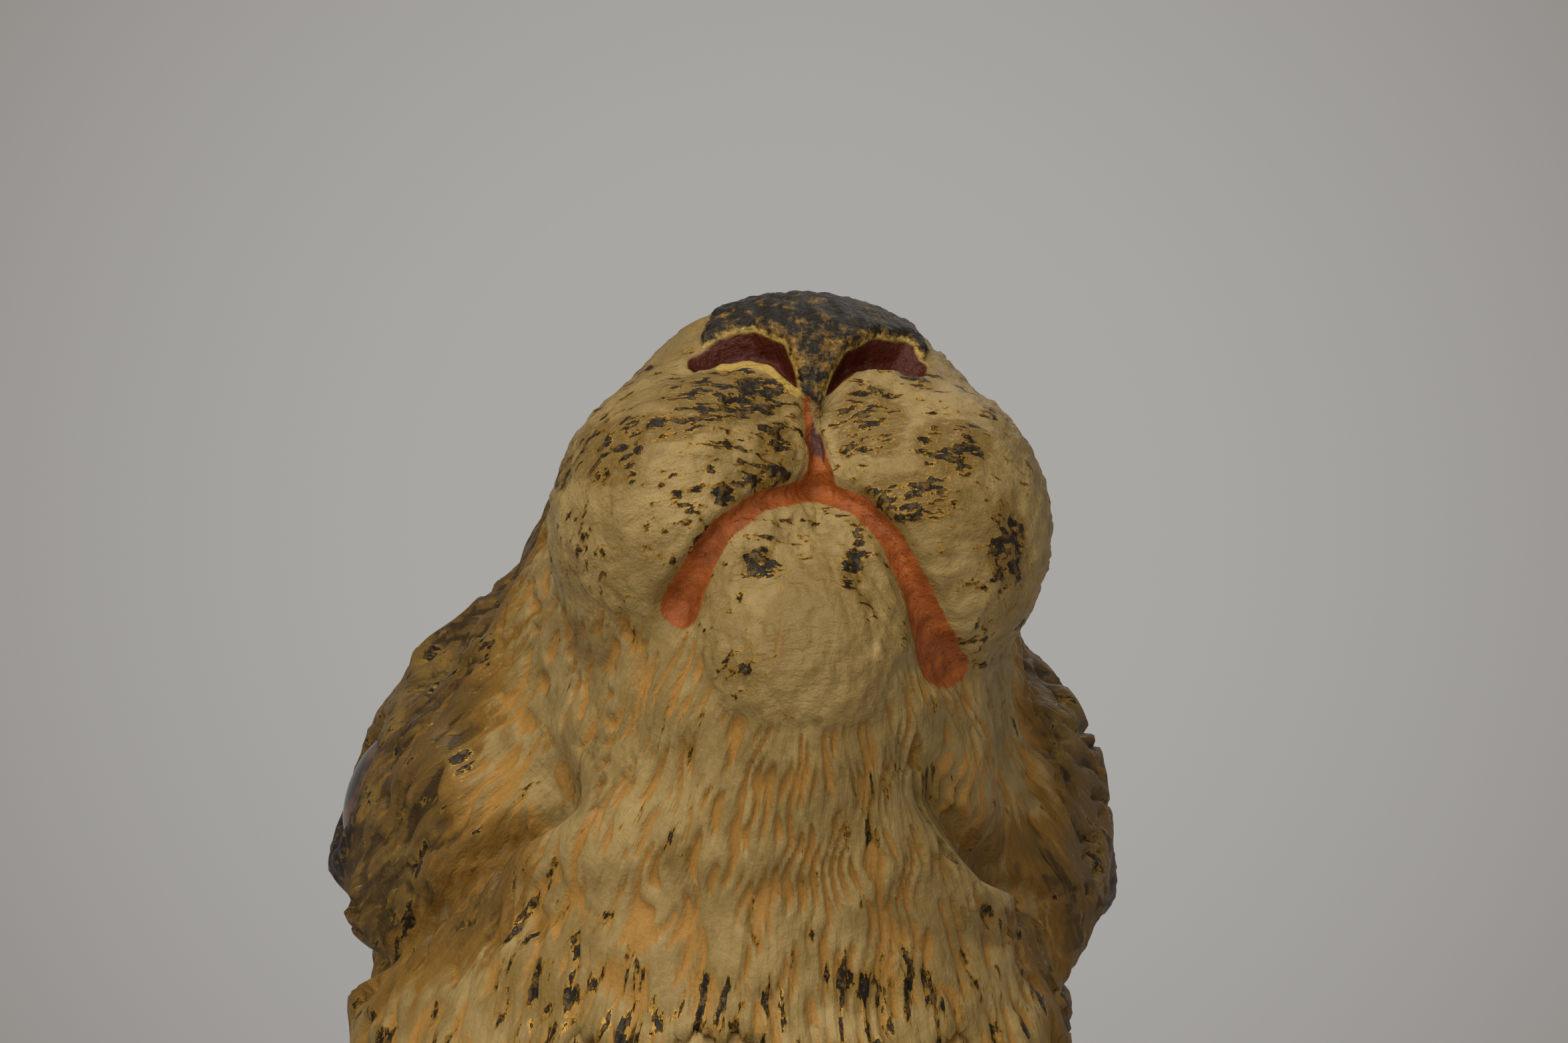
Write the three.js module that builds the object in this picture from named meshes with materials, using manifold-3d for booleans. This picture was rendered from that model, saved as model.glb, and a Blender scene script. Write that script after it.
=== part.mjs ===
// Seated rabbit figurine in cold-painted bronze: head raised, ears laid back, on its own four feet.
// Millimetres, +Z up. It faces -Y, so its left side is +X. The origin is the middle of its footprint.
import * as THREE from "three";
import { mergeVertices } from "three/addons/utils/BufferGeometryUtils.js";
import Module from "manifold-3d";

const wasm = await Module();
wasm.setup();

// Overall sizes, which the body's heights and widths are shares of
const EYE_HEIGHT = 122;
const BODY_WIDTH = 81;
const high = (share) => share * EYE_HEIGHT;
const wide = (share) => share * BODY_WIDTH;

// Fits and walls
const SEAT_GAP = 0.3;
const BORE_CLEARANCE = 0.2;
const SHELL_WALL = 4.5;
const COLLAR_DEPTH = 13;

// Pose of the head: its frame starts midway between the eyes, with the nose towards -Y
const EYE_FORWARD = 30;
const HEAD_PITCH = 30;

// Masses of the head, in the head's frame
const CRANIUM = { at: [0, 6, 2.2], radii: [16.3, 25, 14.6] };
const BRIDGE = { at: [0, -14, -3], radii: [9.6, 19.5, 9.2] };
const NOSE_LOBE = { at: [3.7, -27.4, -2.7], radii: [4.3, 4.3, 3.7] };
const LIP_PAD = { at: [5.4, -24, -7.4], radii: [6.8, 8.2, 6.5] };
const CHIN = { at: [0, -20.4, -13.6], radii: [6.3, 6.9, 5.9] };
const JAW = { at: [0, -8, -12.2], radii: [11.3, 16.5, 8.4] };
const CHEEK = { at: [12.6, 3, -4], radii: [6.6, 12, 9.5] };
const MUZZLE_FLANK = { at: [6.6, -10.5, -2.2], radii: [5.2, 12.5, 6.8] };
const EYE_MOUND = { at: [13.3, 3.2, 0], radii: [6, 6, 6] };
const BROW = { at: [13, 4, 5], radii: [5.2, 7.5, 4.8] };
const EAR_ROOT = { at: [10.5, 15, 9], radii: [6.5, 8, 7.5] };

// Masses of the body, in the figure's frame
const NECK = { at: [0, -24, high(0.852)], radii: [wide(0.16), 20.5, high(0.18)] };
const RUFF = { at: [0, -33, high(0.779)], radii: [wide(0.253), 15.5, high(0.123)] };
const CHEST = { at: [0, -17, high(0.623)], radii: [wide(0.272), 26.5, high(0.27)] };
const SHOULDER = { at: [wide(0.173), -12, high(0.541)], radii: [wide(0.136), 19, high(0.221)] };
const LOIN = { at: [0, 3, high(0.443)], radii: [wide(0.321), 36, high(0.295)] };
const RUMP = { at: [0, 30, high(0.262)], radii: [wide(0.358), 32, high(0.344)] };
const HAUNCH = { at: [wide(0.29), 24, high(0.287)], radii: [wide(0.21), 29, high(0.242)] };
const KNEE = { at: [wide(0.321), 2, high(0.205)], radii: [wide(0.136), 15, high(0.143)] };
const THIGH_SUNK = 1;

// How softly the masses run into each other
const MUZZLE_BLEND = 2;
const FACE_BLEND = 2.6;
const SKULL_BLEND = 5;
const NECK_BLEND = 7;
const BODY_BLEND = 11;
const HAUNCH_BLEND = 7;
const THIGH_BLEND = 10;
const LIMB_BLEND = 4;

// Neck joint: a tenon under the head, square to the joint face, in a socket in the chest
const JOINT = { at: [0, -23, high(0.861)], lean: 3 };
const TENON = { halfWidth: 8.5, halfLength: 14, length: 9, grip: 3 };
const CORE_BORE = { radius: 5, depth: 27 };
const BASE_OPENING = { halfWidth: wide(0.178), halfLength: 16, height: 12 };
const NECK_PIN = { radius: 1.3, bite: 3, sunk: 0.6, angles: [38, 142, 218, 322] };

// Face details, as strokes laid on the skin of the head
const MOUTH = {
  width: 2,
  middle: [0, -28, -10.4],
  points: [[2.8, -28.6, -12.1], [4.7, -27.2, -13.4], [5.8, -25.3, -14.2], [6.9, -22.3, -14.6]],
};
const PHILTRUM = { width: 1.4, points: [[0, -32, -6.8], [0, -30.8, -8.3], MOUTH.middle] };
const NOSTRIL = {
  width: 2.2,
  points: [[0.9, -32, -6.4], [2, -32.3, -4.2], [3.5, -32.4, -2.8], [5.6, -31.6, -4.2]],
};

// Eyes, set square to the sides of the head
const EYE = { out: [0.94, -0.27, 0.2], radius: 3.7, dome: 2.2, seat: 2.7, sunk: 2 };
const EYELID_THICKNESS = 0.9;

// Ears, along a curve in the head's frame: half widths and curl angles from root to tip
const EAR = {
  points: [[8.5, 12, 12], [8.6, 26, 15.5], [7.8, 47, 11.5], [7, 69, 0.5]],
  halfWidths: [4.6, 7.8, 9.4, 9.2, 7.2],
  curls: [2.3, 1.75, 1.25, 1, 0.8],
  roundTip: 0.26,
  tipWidth: 0.1,
  opening: [0.93, 0, 0.36],
  wall: 3,
  rimThinning: 0.85,
  solidRoot: 0.3,
  rootFill: 0.9,
  pegRadius: 2.8,
  pegLength: 7,
  pegGrip: 8,
};

// Legs and feet, in the figure's frame, side by side from the middle plane
const FORELEG = {
  spread: wide(0.154),
  top: [-29, high(0.426)],
  wrist: [-40.5, 9],
  topRadius: 10.5,
  wristRadius: 5.2,
};
const PAW = { forward: 45.5, height: 4.2, radii: [6.4, 9, 5.6], toeBack: 2.5 };
const FOOT = {
  spread: wide(0.352),
  heel: 30,
  ball: -13,
  heelRadius: 5.6,
  ballRadius: 7.2,
  height: 4.2,
  toeBack: 1.6,
};
const TOE = { radii: [2.1, 5.4, 3.2], count: 4, pitch: 3.3, stagger: 0.9 };

// Tail, with a stud through the rump wall and a nut inside
const TAIL = { at: [0, 63.5, high(0.197)], radii: [10, 9, 12], lean: 20, root: 4, core: [-4, 3] };
const TAIL_STUD = { radius: 2.4, spare: 3 };
const TAIL_NUT = { acrossFlats: 8, thickness: 4, faceRadius: 6 };

// Screws
const SCREW = { radius: 2, headRadius: 3.2, headHeight: 2.2, chamfer: 0.6, slotWidth: 0.8, slotDepth: 1 };
const SPOT_FACE = 0.6;
const FORELEG_SCREW = { aim: [-35, high(0.352)], bite: 12 };
const FOOT_SCREW = { back: 20, recess: 1, bite: 3.2 };

// Core curves, which the skins are sculpted round
const MUZZLE_CORE = [0, -15, -4.5];
const HEAD_CORE = [[0, 9, 0], [0, -4, -2.5], MUZZLE_CORE];
const INNER_SPINE = [RUMP.at, LOIN.at, CHEST.at];
const SPINE_SHORT_OF_JOINT = 7;
const SPINE = [...INNER_SPINE, [0, JOINT.at[1], JOINT.at[2] - SPINE_SHORT_OF_JOINT]];

// Fineness of the surfaces
const ROUND_SIDES = 12;
const FINE_SIDES = 16;
const HEAD_GRID = { around: 38, along: 10, cap: 9 };
const BODY_GRID = { around: 34, along: 15, cap: 6 };
const HOLLOW_GRID = { around: 18, along: 7, cap: 4 };
const LIMB_GRID = { around: 12, along: 6, cap: 4 };
const THIGH_GRID = { around: 16, along: 5, cap: 5 };
const EAR_GRID = { rings: 12, halfSteps: 4, tipCrowding: 1.4 };
const DOME_STEPS = 5;
const LID_SIDES = 5;
const TOE_GRID = [8, 5];
const STRIDE = 0.8;
const HALVINGS = 24;

// How far cutters reach past what they cut, and castings past the neck joint before they are cut
const PAST = 150;
const NEAR = 15;
const BREAKTHROUGH = 2;
const SPARE = 6;

// Finishes
const putty = new THREE.MeshStandardMaterial({ color: 0xa8946a, roughness: 0.62, metalness: 0.1 });
const brownFur = new THREE.MeshStandardMaterial({ color: 0x6e5735, roughness: 0.6, metalness: 0.15 });
const bareBronze = new THREE.MeshStandardMaterial({ color: 0x6b4c22, roughness: 0.4, metalness: 1 });
const darkGlaze = new THREE.MeshStandardMaterial({ color: 0x120b07, roughness: 0.08, metalness: 0 });

const radians = THREE.MathUtils.degToRad;
const SIDES = { left: 1, right: -1 };
const vector = ([x, y, z]) => new THREE.Vector3(x, y, z);
const onSide = (side, [x, y, z]) => [side * x, y, z];
const turned = (degrees) => new THREE.Matrix4().makeRotationX(-radians(degrees));
const tilted = (degrees, [x, y, z]) => turned(degrees).setPosition(x, y, z);

const headFrame = tilted(HEAD_PITCH, [0, -EYE_FORWARD, EYE_HEIGHT]);
const intoHead = headFrame.clone().invert();
const jointFrame = tilted(JOINT.lean, JOINT.at);
const intoJoint = jointFrame.clone().invert();
const jointToHead = intoHead.clone().multiply(jointFrame);

// Signed distance to a rounded mass, leaning by an angle about X.
function mass({ at, radii, lean = 0 }) {
  const cos = Math.cos(radians(lean));
  const sin = Math.sin(radians(lean));
  return ({ x, y, z }) => {
    const dy = cos * (y - at[1]) + sin * (z - at[2]);
    const dz = cos * (z - at[2]) - sin * (y - at[1]);
    const unit = [(x - at[0]) / radii[0], dy / radii[1], dz / radii[2]];
    const reach = Math.hypot(...unit);
    const slope = Math.hypot(unit[0] / radii[0], unit[1] / radii[1], unit[2] / radii[2]);
    return slope > 0 ? (reach * (reach - 1)) / slope : -Math.min(...radii);
  };
}

// Signed distance to a round limb that tapers between two points.
function limb(from, fromRadius, to, toRadius) {
  const start = vector(from);
  const run = vector(to).sub(start);
  const offset = new THREE.Vector3();
  return (point) => {
    offset.copy(point).sub(start);
    const share = THREE.MathUtils.clamp(offset.dot(run) / run.lengthSq(), 0, 1);
    return offset.addScaledVector(run, -share).length() - THREE.MathUtils.lerp(fromRadius, toRadius, share);
  };
}

// The same mass on both sides of the middle plane.
function paired(side) {
  const mirrored = new THREE.Vector3();
  return (point) => Math.min(side(point), side(mirrored.set(-point.x, point.y, point.z)));
}

// Runs masses together, each with the ones before it.
function blended(blend, ...masses) {
  return (point) =>
    masses.reduce((joined, next) => {
      const other = next(point);
      const overlap = Math.max(blend - Math.abs(joined - other), 0) / blend;
      return Math.min(joined, other) - (overlap * overlap * blend) / 4;
    }, Infinity);
}

function inFrame(field, matrix) {
  const local = new THREE.Vector3();
  return (point) => field(local.copy(point).applyMatrix4(matrix));
}

const swollen = (field, amount) => (point) => field(point) - amount;
const overJoint = inFrame(({ z }) => z, intoJoint);

const jaws = blended(SKULL_BLEND, mass(CRANIUM), mass(BRIDGE), mass(JAW));
const skull = blended(SKULL_BLEND, jaws, paired(mass(CHEEK)), paired(mass(MUZZLE_FLANK)));
const eyeRegion = blended(FACE_BLEND, paired(mass(EYE_MOUND)), paired(mass(BROW)), paired(mass(EAR_ROOT)));
const muzzle = blended(MUZZLE_BLEND, mass(CHIN), paired(mass(LIP_PAD)), paired(mass(NOSE_LOBE)));
const face = blended(FACE_BLEND, skull, eyeRegion, muzzle);
const barrel = blended(BODY_BLEND, mass(RUMP), mass(LOIN), mass(CHEST), paired(mass(SHOULDER)));
const trunk = blended(BODY_BLEND, barrel, mass(NECK), mass(RUFF));
const torso = blended(HAUNCH_BLEND, trunk, paired(mass(HAUNCH)));
const skin = blended(NECK_BLEND, torso, inFrame(face, intoHead));
const hollow = (point) => Math.max(skin(point) + SHELL_WALL, overJoint(point) + COLLAR_DEPTH);

// Where a ray first passes through the skin of a field.
function crossing(field, from, direction) {
  const probe = (distance) => field(from.clone().addScaledVector(direction, distance)) > 0;
  const startsOutside = probe(0);
  let far = STRIDE;
  while (probe(far) === startsOutside) {
    far += STRIDE;
    if (far > PAST) throw new Error("a ray never meets the skin");
  }
  let near = far - STRIDE;
  for (let halving = 0; halving < HALVINGS; halving += 1) {
    const middle = (near + far) / 2;
    if (probe(middle) === startsOutside) near = middle;
    else far = middle;
  }
  return from.clone().addScaledVector(direction, near);
}

function surface(positions, index) {
  const geometry = new THREE.BufferGeometry();
  geometry.setAttribute("position", new THREE.Float32BufferAttribute(positions, 3));
  geometry.setIndex(index);
  return geometry;
}

// Triangles between neighbouring rings of points that start at the given place in the list.
function bands(rings, around, first) {
  const index = [];
  for (let ring = 0; ring < rings - 1; ring += 1) {
    const row = first + ring * around;
    for (let step = 0; step < around; step += 1) {
      const next = (step + 1) % around;
      index.push(row + step, row + next, row + around + next);
      index.push(row + step, row + around + next, row + around + step);
    }
  }
  return index;
}

// A closed surface: rings of points round a core curve, each slid out along its ray to the field's skin.
function sculpt(field, corePoints, { around, along, cap }) {
  const core = new THREE.CatmullRomCurve3(corePoints.map(vector));
  const positions = [];
  const addPoint = (from, direction) => positions.push(...crossing(field, from, direction).toArray());
  const addRing = (share, tilt) => {
    const from = core.getPointAt(share);
    const tangent = core.getTangentAt(share);
    if (field(from) > 0) throw new Error("a core curve leaves its own field");
    const across = new THREE.Vector3(1, 0, 0).addScaledVector(tangent, -tangent.x).normalize();
    const rise = new THREE.Vector3().crossVectors(tangent, across);
    for (let step = 0; step < around; step += 1) {
      const angle = (2 * Math.PI * step) / around;
      const direction = tangent.clone().multiplyScalar(Math.sin(tilt));
      direction.addScaledVector(across, Math.cos(angle) * Math.cos(tilt));
      direction.addScaledVector(rise, Math.sin(angle) * Math.cos(tilt));
      addPoint(from, direction);
    }
  };
  const quarter = Math.PI / 2;
  addPoint(core.getPointAt(0), core.getTangentAt(0).negate());
  for (let step = 1; step < cap; step += 1) addRing(0, -quarter * (1 - step / cap));
  for (let step = 0; step <= along; step += 1) addRing(step / along, 0);
  for (let step = 1; step < cap; step += 1) addRing(1, (quarter * step) / cap);
  addPoint(core.getPointAt(1), core.getTangentAt(1));
  const rings = 2 * (cap - 1) + along + 1;
  const last = rings * around + 1;
  const index = bands(rings, around, 1);
  for (let step = 0; step < around; step += 1) {
    const next = (step + 1) % around;
    index.push(0, 1 + next, 1 + step, last - around + step, last - around + next, last);
  }
  return surface(positions, index);
}

function solid(geometry) {
  const bare = geometry.clone();
  bare.deleteAttribute("normal");
  bare.deleteAttribute("uv");
  const merged = mergeVertices(bare, 1e-4);
  const vertProperties = Float32Array.from(merged.attributes.position.array);
  const triVerts = Uint32Array.from(merged.index.array);
  const closed = () => new wasm.Manifold(new wasm.Mesh({ numProp: 3, vertProperties, triVerts }));
  const body = closed();
  if (body.volume() > 0) return body;
  triVerts.reverse();
  return closed();
}

function geometryOf(body) {
  const { vertProperties, triVerts } = body.getMesh();
  const geometry = surface(Array.from(vertProperties), Array.from(triVerts));
  geometry.computeVertexNormals();
  return geometry;
}

function piece(name, body, material) {
  const mesh = new THREE.Mesh(geometryOf(body), material);
  mesh.name = name;
  return mesh;
}

// Turns a geometry made along +Z so that it starts at a point and runs along a direction.
function aimed(geometry, at, direction) {
  const turn = new THREE.Quaternion().setFromUnitVectors(new THREE.Vector3(0, 0, 1), direction);
  return geometry.applyQuaternion(turn).translate(at.x, at.y, at.z);
}

// A round bar along +Z from a start to an end height.
function bar(radius, start, end, sides = ROUND_SIDES) {
  return new THREE.CylinderGeometry(radius, radius, end - start, sides)
    .rotateX(Math.PI / 2)
    .translate(0, 0, (start + end) / 2);
}

function oval(halfWidth, halfLength, start, end) {
  return bar(1, start, end, FINE_SIDES).scale(halfWidth, halfLength, 1);
}

// A large block over or under a level, for flat cuts.
function slab(start, end) {
  return new THREE.BoxGeometry(2 * PAST, 2 * PAST, end - start).translate(0, 0, (start + end) / 2);
}

// A round-sectioned cutter along a curve that is laid on the skin of the head.
function strokeCutter(points, width) {
  const core = vector(MUZZLE_CORE);
  const laid = points.map((point) => crossing(face, core, vector(point).sub(core).normalize()));
  const extrudePath = new THREE.CatmullRomCurve3(laid);
  const section = new THREE.Shape().absarc(0, 0, width / 2, 0, 2 * Math.PI);
  const options = { steps: 2 * laid.length, curveSegments: 3, extrudePath };
  return solid(new THREE.ExtrudeGeometry(section, options));
}

// A screw along +Z: the head's seat is at zero, the head below it and the shank above it.
function screw(length) {
  const { radius, headRadius, headHeight, chamfer, slotWidth, slotDepth } = SCREW;
  const profile = [
    [0, -headHeight],
    [headRadius - chamfer, -headHeight],
    [headRadius, chamfer - headHeight],
    [headRadius, 0],
    [radius, 0],
    [radius, length - chamfer],
    [radius - chamfer, length],
    [0, length],
  ];
  const outline = profile.map(([x, y]) => new THREE.Vector2(x, y));
  const shape = new THREE.LatheGeometry(outline, ROUND_SIDES).rotateX(Math.PI / 2);
  const slot = new THREE.BoxGeometry(4 * headRadius, slotWidth, 2 * slotDepth).translate(0, 0, -headHeight);
  return geometryOf(solid(shape).subtract(solid(slot)));
}

// Pins that lock the tenon, square to its axis, from inside it out to just under the skin
const pinLevel = new THREE.Vector3(0, 0, -TENON.length / 2);
const neckPins = NECK_PIN.angles.map((degrees) => {
  const direction = new THREE.Vector3(Math.cos(radians(degrees)), Math.sin(radians(degrees)), 0);
  const tenonEdge = 1 / Math.hypot(direction.x / TENON.halfWidth, direction.y / TENON.halfLength);
  const reach = crossing(inFrame(skin, jointFrame), pinLevel, direction).distanceTo(pinLevel);
  return { direction, start: tenonEdge - NECK_PIN.bite, end: reach - NECK_PIN.sunk };
});

function pinBore({ direction, start, end }) {
  const bore = bar(NECK_PIN.radius + BORE_CLEARANCE, start - BORE_CLEARANCE, end + NEAR);
  return aimed(bore, pinLevel, direction);
}

// Eye beads: a flat-backed dome in a round pocket, with a lid round it
function eyePlace(side) {
  const out = vector(onSide(side, EYE.out)).normalize();
  const seat = crossing(face, vector(onSide(side, EYE_MOUND.at)), out).addScaledVector(out, -EYE.sunk);
  return { out, seat };
}

function eyeBead(side) {
  const { out, seat } = eyePlace(side);
  const dome = new THREE.EllipseCurve(0, 0, EYE.radius, EYE.dome, 0, Math.PI / 2).getPoints(DOME_STEPS);
  dome[DOME_STEPS].x = 0;
  const back = [new THREE.Vector2(0, -EYE.seat), new THREE.Vector2(EYE.radius, -EYE.seat)];
  const bead = new THREE.LatheGeometry([...back, ...dome], FINE_SIDES).rotateX(Math.PI / 2);
  return solid(aimed(bead, seat, out));
}

function eyePocket(side) {
  const { out, seat } = eyePlace(side);
  const pocket = bar(EYE.radius + BORE_CLEARANCE, -EYE.seat - SEAT_GAP, NEAR, FINE_SIDES);
  return solid(aimed(pocket, seat, out));
}

function eyelid(side) {
  const { out, seat } = eyePlace(side);
  const middle = EYE.radius + EYELID_THICKNESS;
  const ring = new THREE.TorusGeometry(middle, EYELID_THICKNESS, LID_SIDES, FINE_SIDES);
  return solid(aimed(ring, seat, out));
}

// A leaf-shaped cup along a curve: crescent sections whose edges curl towards the open side.
function earLeaf(side) {
  const path = new THREE.CatmullRomCurve3(EAR.points.map((point) => vector(onSide(side, point))));
  const { rings, halfSteps: half, tipCrowding } = EAR_GRID;
  const positions = [];
  const valueAt = (values, share) => {
    const place = share * (values.length - 1);
    const lower = Math.min(Math.floor(place), values.length - 2);
    const between = THREE.MathUtils.smoothstep(place - lower, 0, 1);
    return THREE.MathUtils.lerp(values[lower], values[lower + 1], between);
  };
  for (let ring = 0; ring < rings; ring += 1) {
    const share = 1 - (1 - ring / (rings - 1)) ** tipCrowding;
    const nearTip = Math.max(0, share - 1 + EAR.roundTip) / EAR.roundTip;
    const middle = path.getPointAt(share);
    const tangent = path.getTangentAt(share);
    const open = vector(onSide(side, EAR.opening));
    open.addScaledVector(tangent, -tangent.dot(open)).normalize();
    const across = new THREE.Vector3().crossVectors(tangent, open);
    const narrowing = Math.sqrt(1 + EAR.tipWidth ** 2 - nearTip ** 2);
    const halfWidth = valueAt(EAR.halfWidths, share) * narrowing;
    const curl = valueAt(EAR.curls, share);
    const radius = halfWidth / curl;
    const wall = Math.min(EAR.wall, halfWidth);
    const filled = EAR.rootFill * (1 - THREE.MathUtils.smoothstep(share, 0, EAR.solidRoot));
    const inward = THREE.MathUtils.lerp(wall / 2, radius, filled);
    const addPoint = (place, offset) => {
      const reach = radius + offset * Math.sqrt(1 - EAR.rimThinning * place ** 4);
      const point = middle.clone().addScaledVector(across, reach * Math.sin(place * curl));
      positions.push(...point.addScaledVector(open, radius - reach * Math.cos(place * curl)).toArray());
    };
    for (let step = -half; step <= half; step += 1) addPoint(step / half, wall / 2);
    for (let step = half; step >= -half; step -= 1) addPoint(step / half, -inward);
  }
  const around = 2 * (2 * half + 1);
  const index = bands(rings, around, 0);
  const last = (rings - 1) * around;
  for (let step = 0; step < 2 * half; step += 1) {
    const back = around - 1 - step;
    index.push(step, back, step + 1, back, back - 1, step + 1);
    index.push(last + step, last + step + 1, last + back, last + back, last + step + 1, last + back - 1);
  }
  return solid(surface(positions, index));
}

function earPeg(side, clearance) {
  const root = vector(onSide(side, EAR.points[0]));
  const inward = root.clone().sub(vector(onSide(side, EAR.points[1]))).normalize();
  const peg = bar(EAR.pegRadius + clearance, -EAR.pegGrip, EAR.pegLength + clearance);
  return solid(aimed(peg, root, inward));
}

// The head as first sculpted, with spare metal under the joint.
function roughHead(allowance) {
  const trimmed = (point) => Math.max(skin(point) - allowance, -overJoint(point) - SPARE);
  return solid(sculpt(inFrame(trimmed, headFrame), HEAD_CORE, HEAD_GRID));
}

function headCasting() {
  const fromJoint = (geometry) => solid(geometry.applyMatrix4(jointToHead));
  let casting = roughHead(0).subtract(fromJoint(slab(-PAST, 0)));
  casting = casting.add(fromJoint(oval(TENON.halfWidth, TENON.halfLength, -TENON.length, TENON.grip)));
  for (const side of Object.values(SIDES)) {
    casting = casting.add(eyelid(side)).subtract(eyePocket(side)).subtract(earPeg(side, BORE_CLEARANCE));
    const nostril = NOSTRIL.points.map((point) => onSide(side, point));
    casting = casting.subtract(strokeCutter(nostril, NOSTRIL.width));
  }
  const otherHalf = MOUTH.points.map((point) => onSide(-1, point)).reverse();
  casting = casting.subtract(strokeCutter([...otherHalf, MOUTH.middle, ...MOUTH.points], MOUTH.width));
  casting = casting.subtract(strokeCutter(PHILTRUM.points, PHILTRUM.width));
  const top = CORE_BORE.depth - TENON.length;
  casting = casting.subtract(fromJoint(bar(CORE_BORE.radius, -TENON.length - NEAR, top)));
  for (const pin of neckPins) casting = casting.subtract(fromJoint(pinBore(pin)));
  return casting;
}

// A thigh that comes out of the flank towards the knee and leaves a crease in front of it.
function thigh(side, allowance) {
  const upper = swollen(mass({ ...HAUNCH, at: onSide(side, HAUNCH.at) }), -THIGH_SUNK);
  const knee = mass({ ...KNEE, at: onSide(side, KNEE.at) });
  const core = [onSide(side, HAUNCH.at), onSide(side, KNEE.at)];
  return solid(sculpt(swollen(blended(THIGH_BLEND, upper, knee), allowance), core, THIGH_GRID));
}

// The body as first sculpted, with spare metal over the neck joint.
function roughBody(allowance) {
  const trimmed = (point) => Math.max(skin(point) - allowance, overJoint(point) - SPARE);
  let rough = solid(sculpt(trimmed, SPINE, BODY_GRID));
  for (const side of Object.values(SIDES)) rough = rough.add(thigh(side, allowance));
  return rough;
}

// What seats on the castings is cut by them, swollen by the seat gap
const headCutter = roughHead(SEAT_GAP);
const bodyCutter = roughBody(SEAT_GAP);

// Forelegs: a tapering leg and paw, cut to seat on the chest
function forelegField(side) {
  const x = side * FORELEG.spread;
  const leg = limb([x, ...FORELEG.top], FORELEG.topRadius, [x, ...FORELEG.wrist], FORELEG.wristRadius);
  const paw = mass({ at: [x, -PAW.forward, PAW.height], radii: PAW.radii });
  return blended(LIMB_BLEND, leg, paw);
}

function toes(x, y, height) {
  const places = Array.from({ length: TOE.count }, (_, step) => step - (TOE.count - 1) / 2);
  return places.map((place) => {
    const shape = new THREE.SphereGeometry(1, ...TOE_GRID).rotateX(Math.PI / 2).scale(...TOE.radii);
    return solid(shape.translate(x + place * TOE.pitch, y + TOE.stagger * Math.abs(place), height));
  });
}

function foreleg(side, bore) {
  const x = side * FORELEG.spread;
  const core = [[x, ...FORELEG.top], [x, ...FORELEG.wrist], [x, -PAW.forward, PAW.height]];
  let leg = solid(sculpt(forelegField(side), core, LIMB_GRID));
  const toeLine = PAW.toeBack - PAW.forward - PAW.radii[1];
  for (const toe of toes(x, toeLine, TOE.radii[2])) leg = leg.add(toe);
  return leg.subtract(solid(slab(-PAST, 0))).subtract(bodyCutter).subtract(bore);
}

function screwBore(length, at, direction) {
  const bore = bar(SCREW.radius + BORE_CLEARANCE, -BREAKTHROUGH, length + BORE_CLEARANCE);
  return solid(aimed(bore, at, direction));
}

// A screw from the chest hollow, square through the wall, into the top of a foreleg
function forelegScrew(side) {
  const from = vector(CHEST.at);
  const to = vector([side * FORELEG.spread, ...FORELEG_SCREW.aim]);
  const direction = to.clone().sub(from).normalize();
  const inner = crossing(hollow, from, direction).addScaledVector(direction, SPOT_FACE);
  const outer = crossing(skin, from, direction);
  const length = inner.distanceTo(outer) + FORELEG_SCREW.bite;
  const bore = screwBore(length, inner, direction);
  const spot = solid(aimed(bar(SCREW.headRadius + 2 * SEAT_GAP, -NEAR, -SEAT_GAP), inner, direction));
  const seat = inner.clone().addScaledVector(direction, -SEAT_GAP - BORE_CLEARANCE);
  return { bore, spot, body: solid(aimed(screw(length), seat, direction)) };
}

// Hind feet: long soles with toes, cut to seat under the haunches
function footScrew(side) {
  const from = new THREE.Vector3(side * FOOT.spread, FOOT_SCREW.back, FOOT.height);
  const up = new THREE.Vector3(0, 0, 1);
  const haunch = crossing(skin, from, up).z;
  const seat = new THREE.Vector3(from.x, from.y, FOOT_SCREW.recess + SCREW.headHeight);
  const length = haunch + FOOT_SCREW.bite - seat.z;
  const bore = screwBore(length, seat, up);
  const spot = solid(aimed(bar(SCREW.headRadius + SEAT_GAP, -NEAR, SEAT_GAP), seat, up));
  return { bore, spot, body: solid(aimed(screw(length), seat, up)) };
}

function hindFoot(side, { bore, spot }) {
  const x = side * FOOT.spread;
  const heel = [x, FOOT.heel, FOOT.height];
  const ball = [x, FOOT.ball, FOOT.height];
  const sole = limb(heel, FOOT.heelRadius, ball, FOOT.ballRadius);
  let foot = solid(sculpt(sole, [heel, ball], LIMB_GRID));
  const toeLine = FOOT.toeBack + FOOT.ball - FOOT.ballRadius;
  for (const toe of toes(x, toeLine, TOE.radii[2])) foot = foot.add(toe);
  return foot.subtract(solid(slab(-PAST, 0))).subtract(bodyCutter).subtract(bore).subtract(spot);
}

// Tail: a tuft that seats on the rump, with a stud through the wall and a nut inside
const tailForward = new THREE.Vector3(0, -1, 0);
const tailBack = tailForward.clone().negate();
const tailRoot = new THREE.Vector3(0, TAIL.at[1] + TAIL.root, TAIL.at[2]);
const rumpInner = crossing(hollow, new THREE.Vector3(0, RUMP.at[1], TAIL.at[2]), tailBack);
const nutSeat = rumpInner.clone().addScaledVector(tailBack, SPOT_FACE);
const studLength = tailRoot.distanceTo(nutSeat) + TAIL_NUT.thickness + TAIL_STUD.spare;

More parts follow.
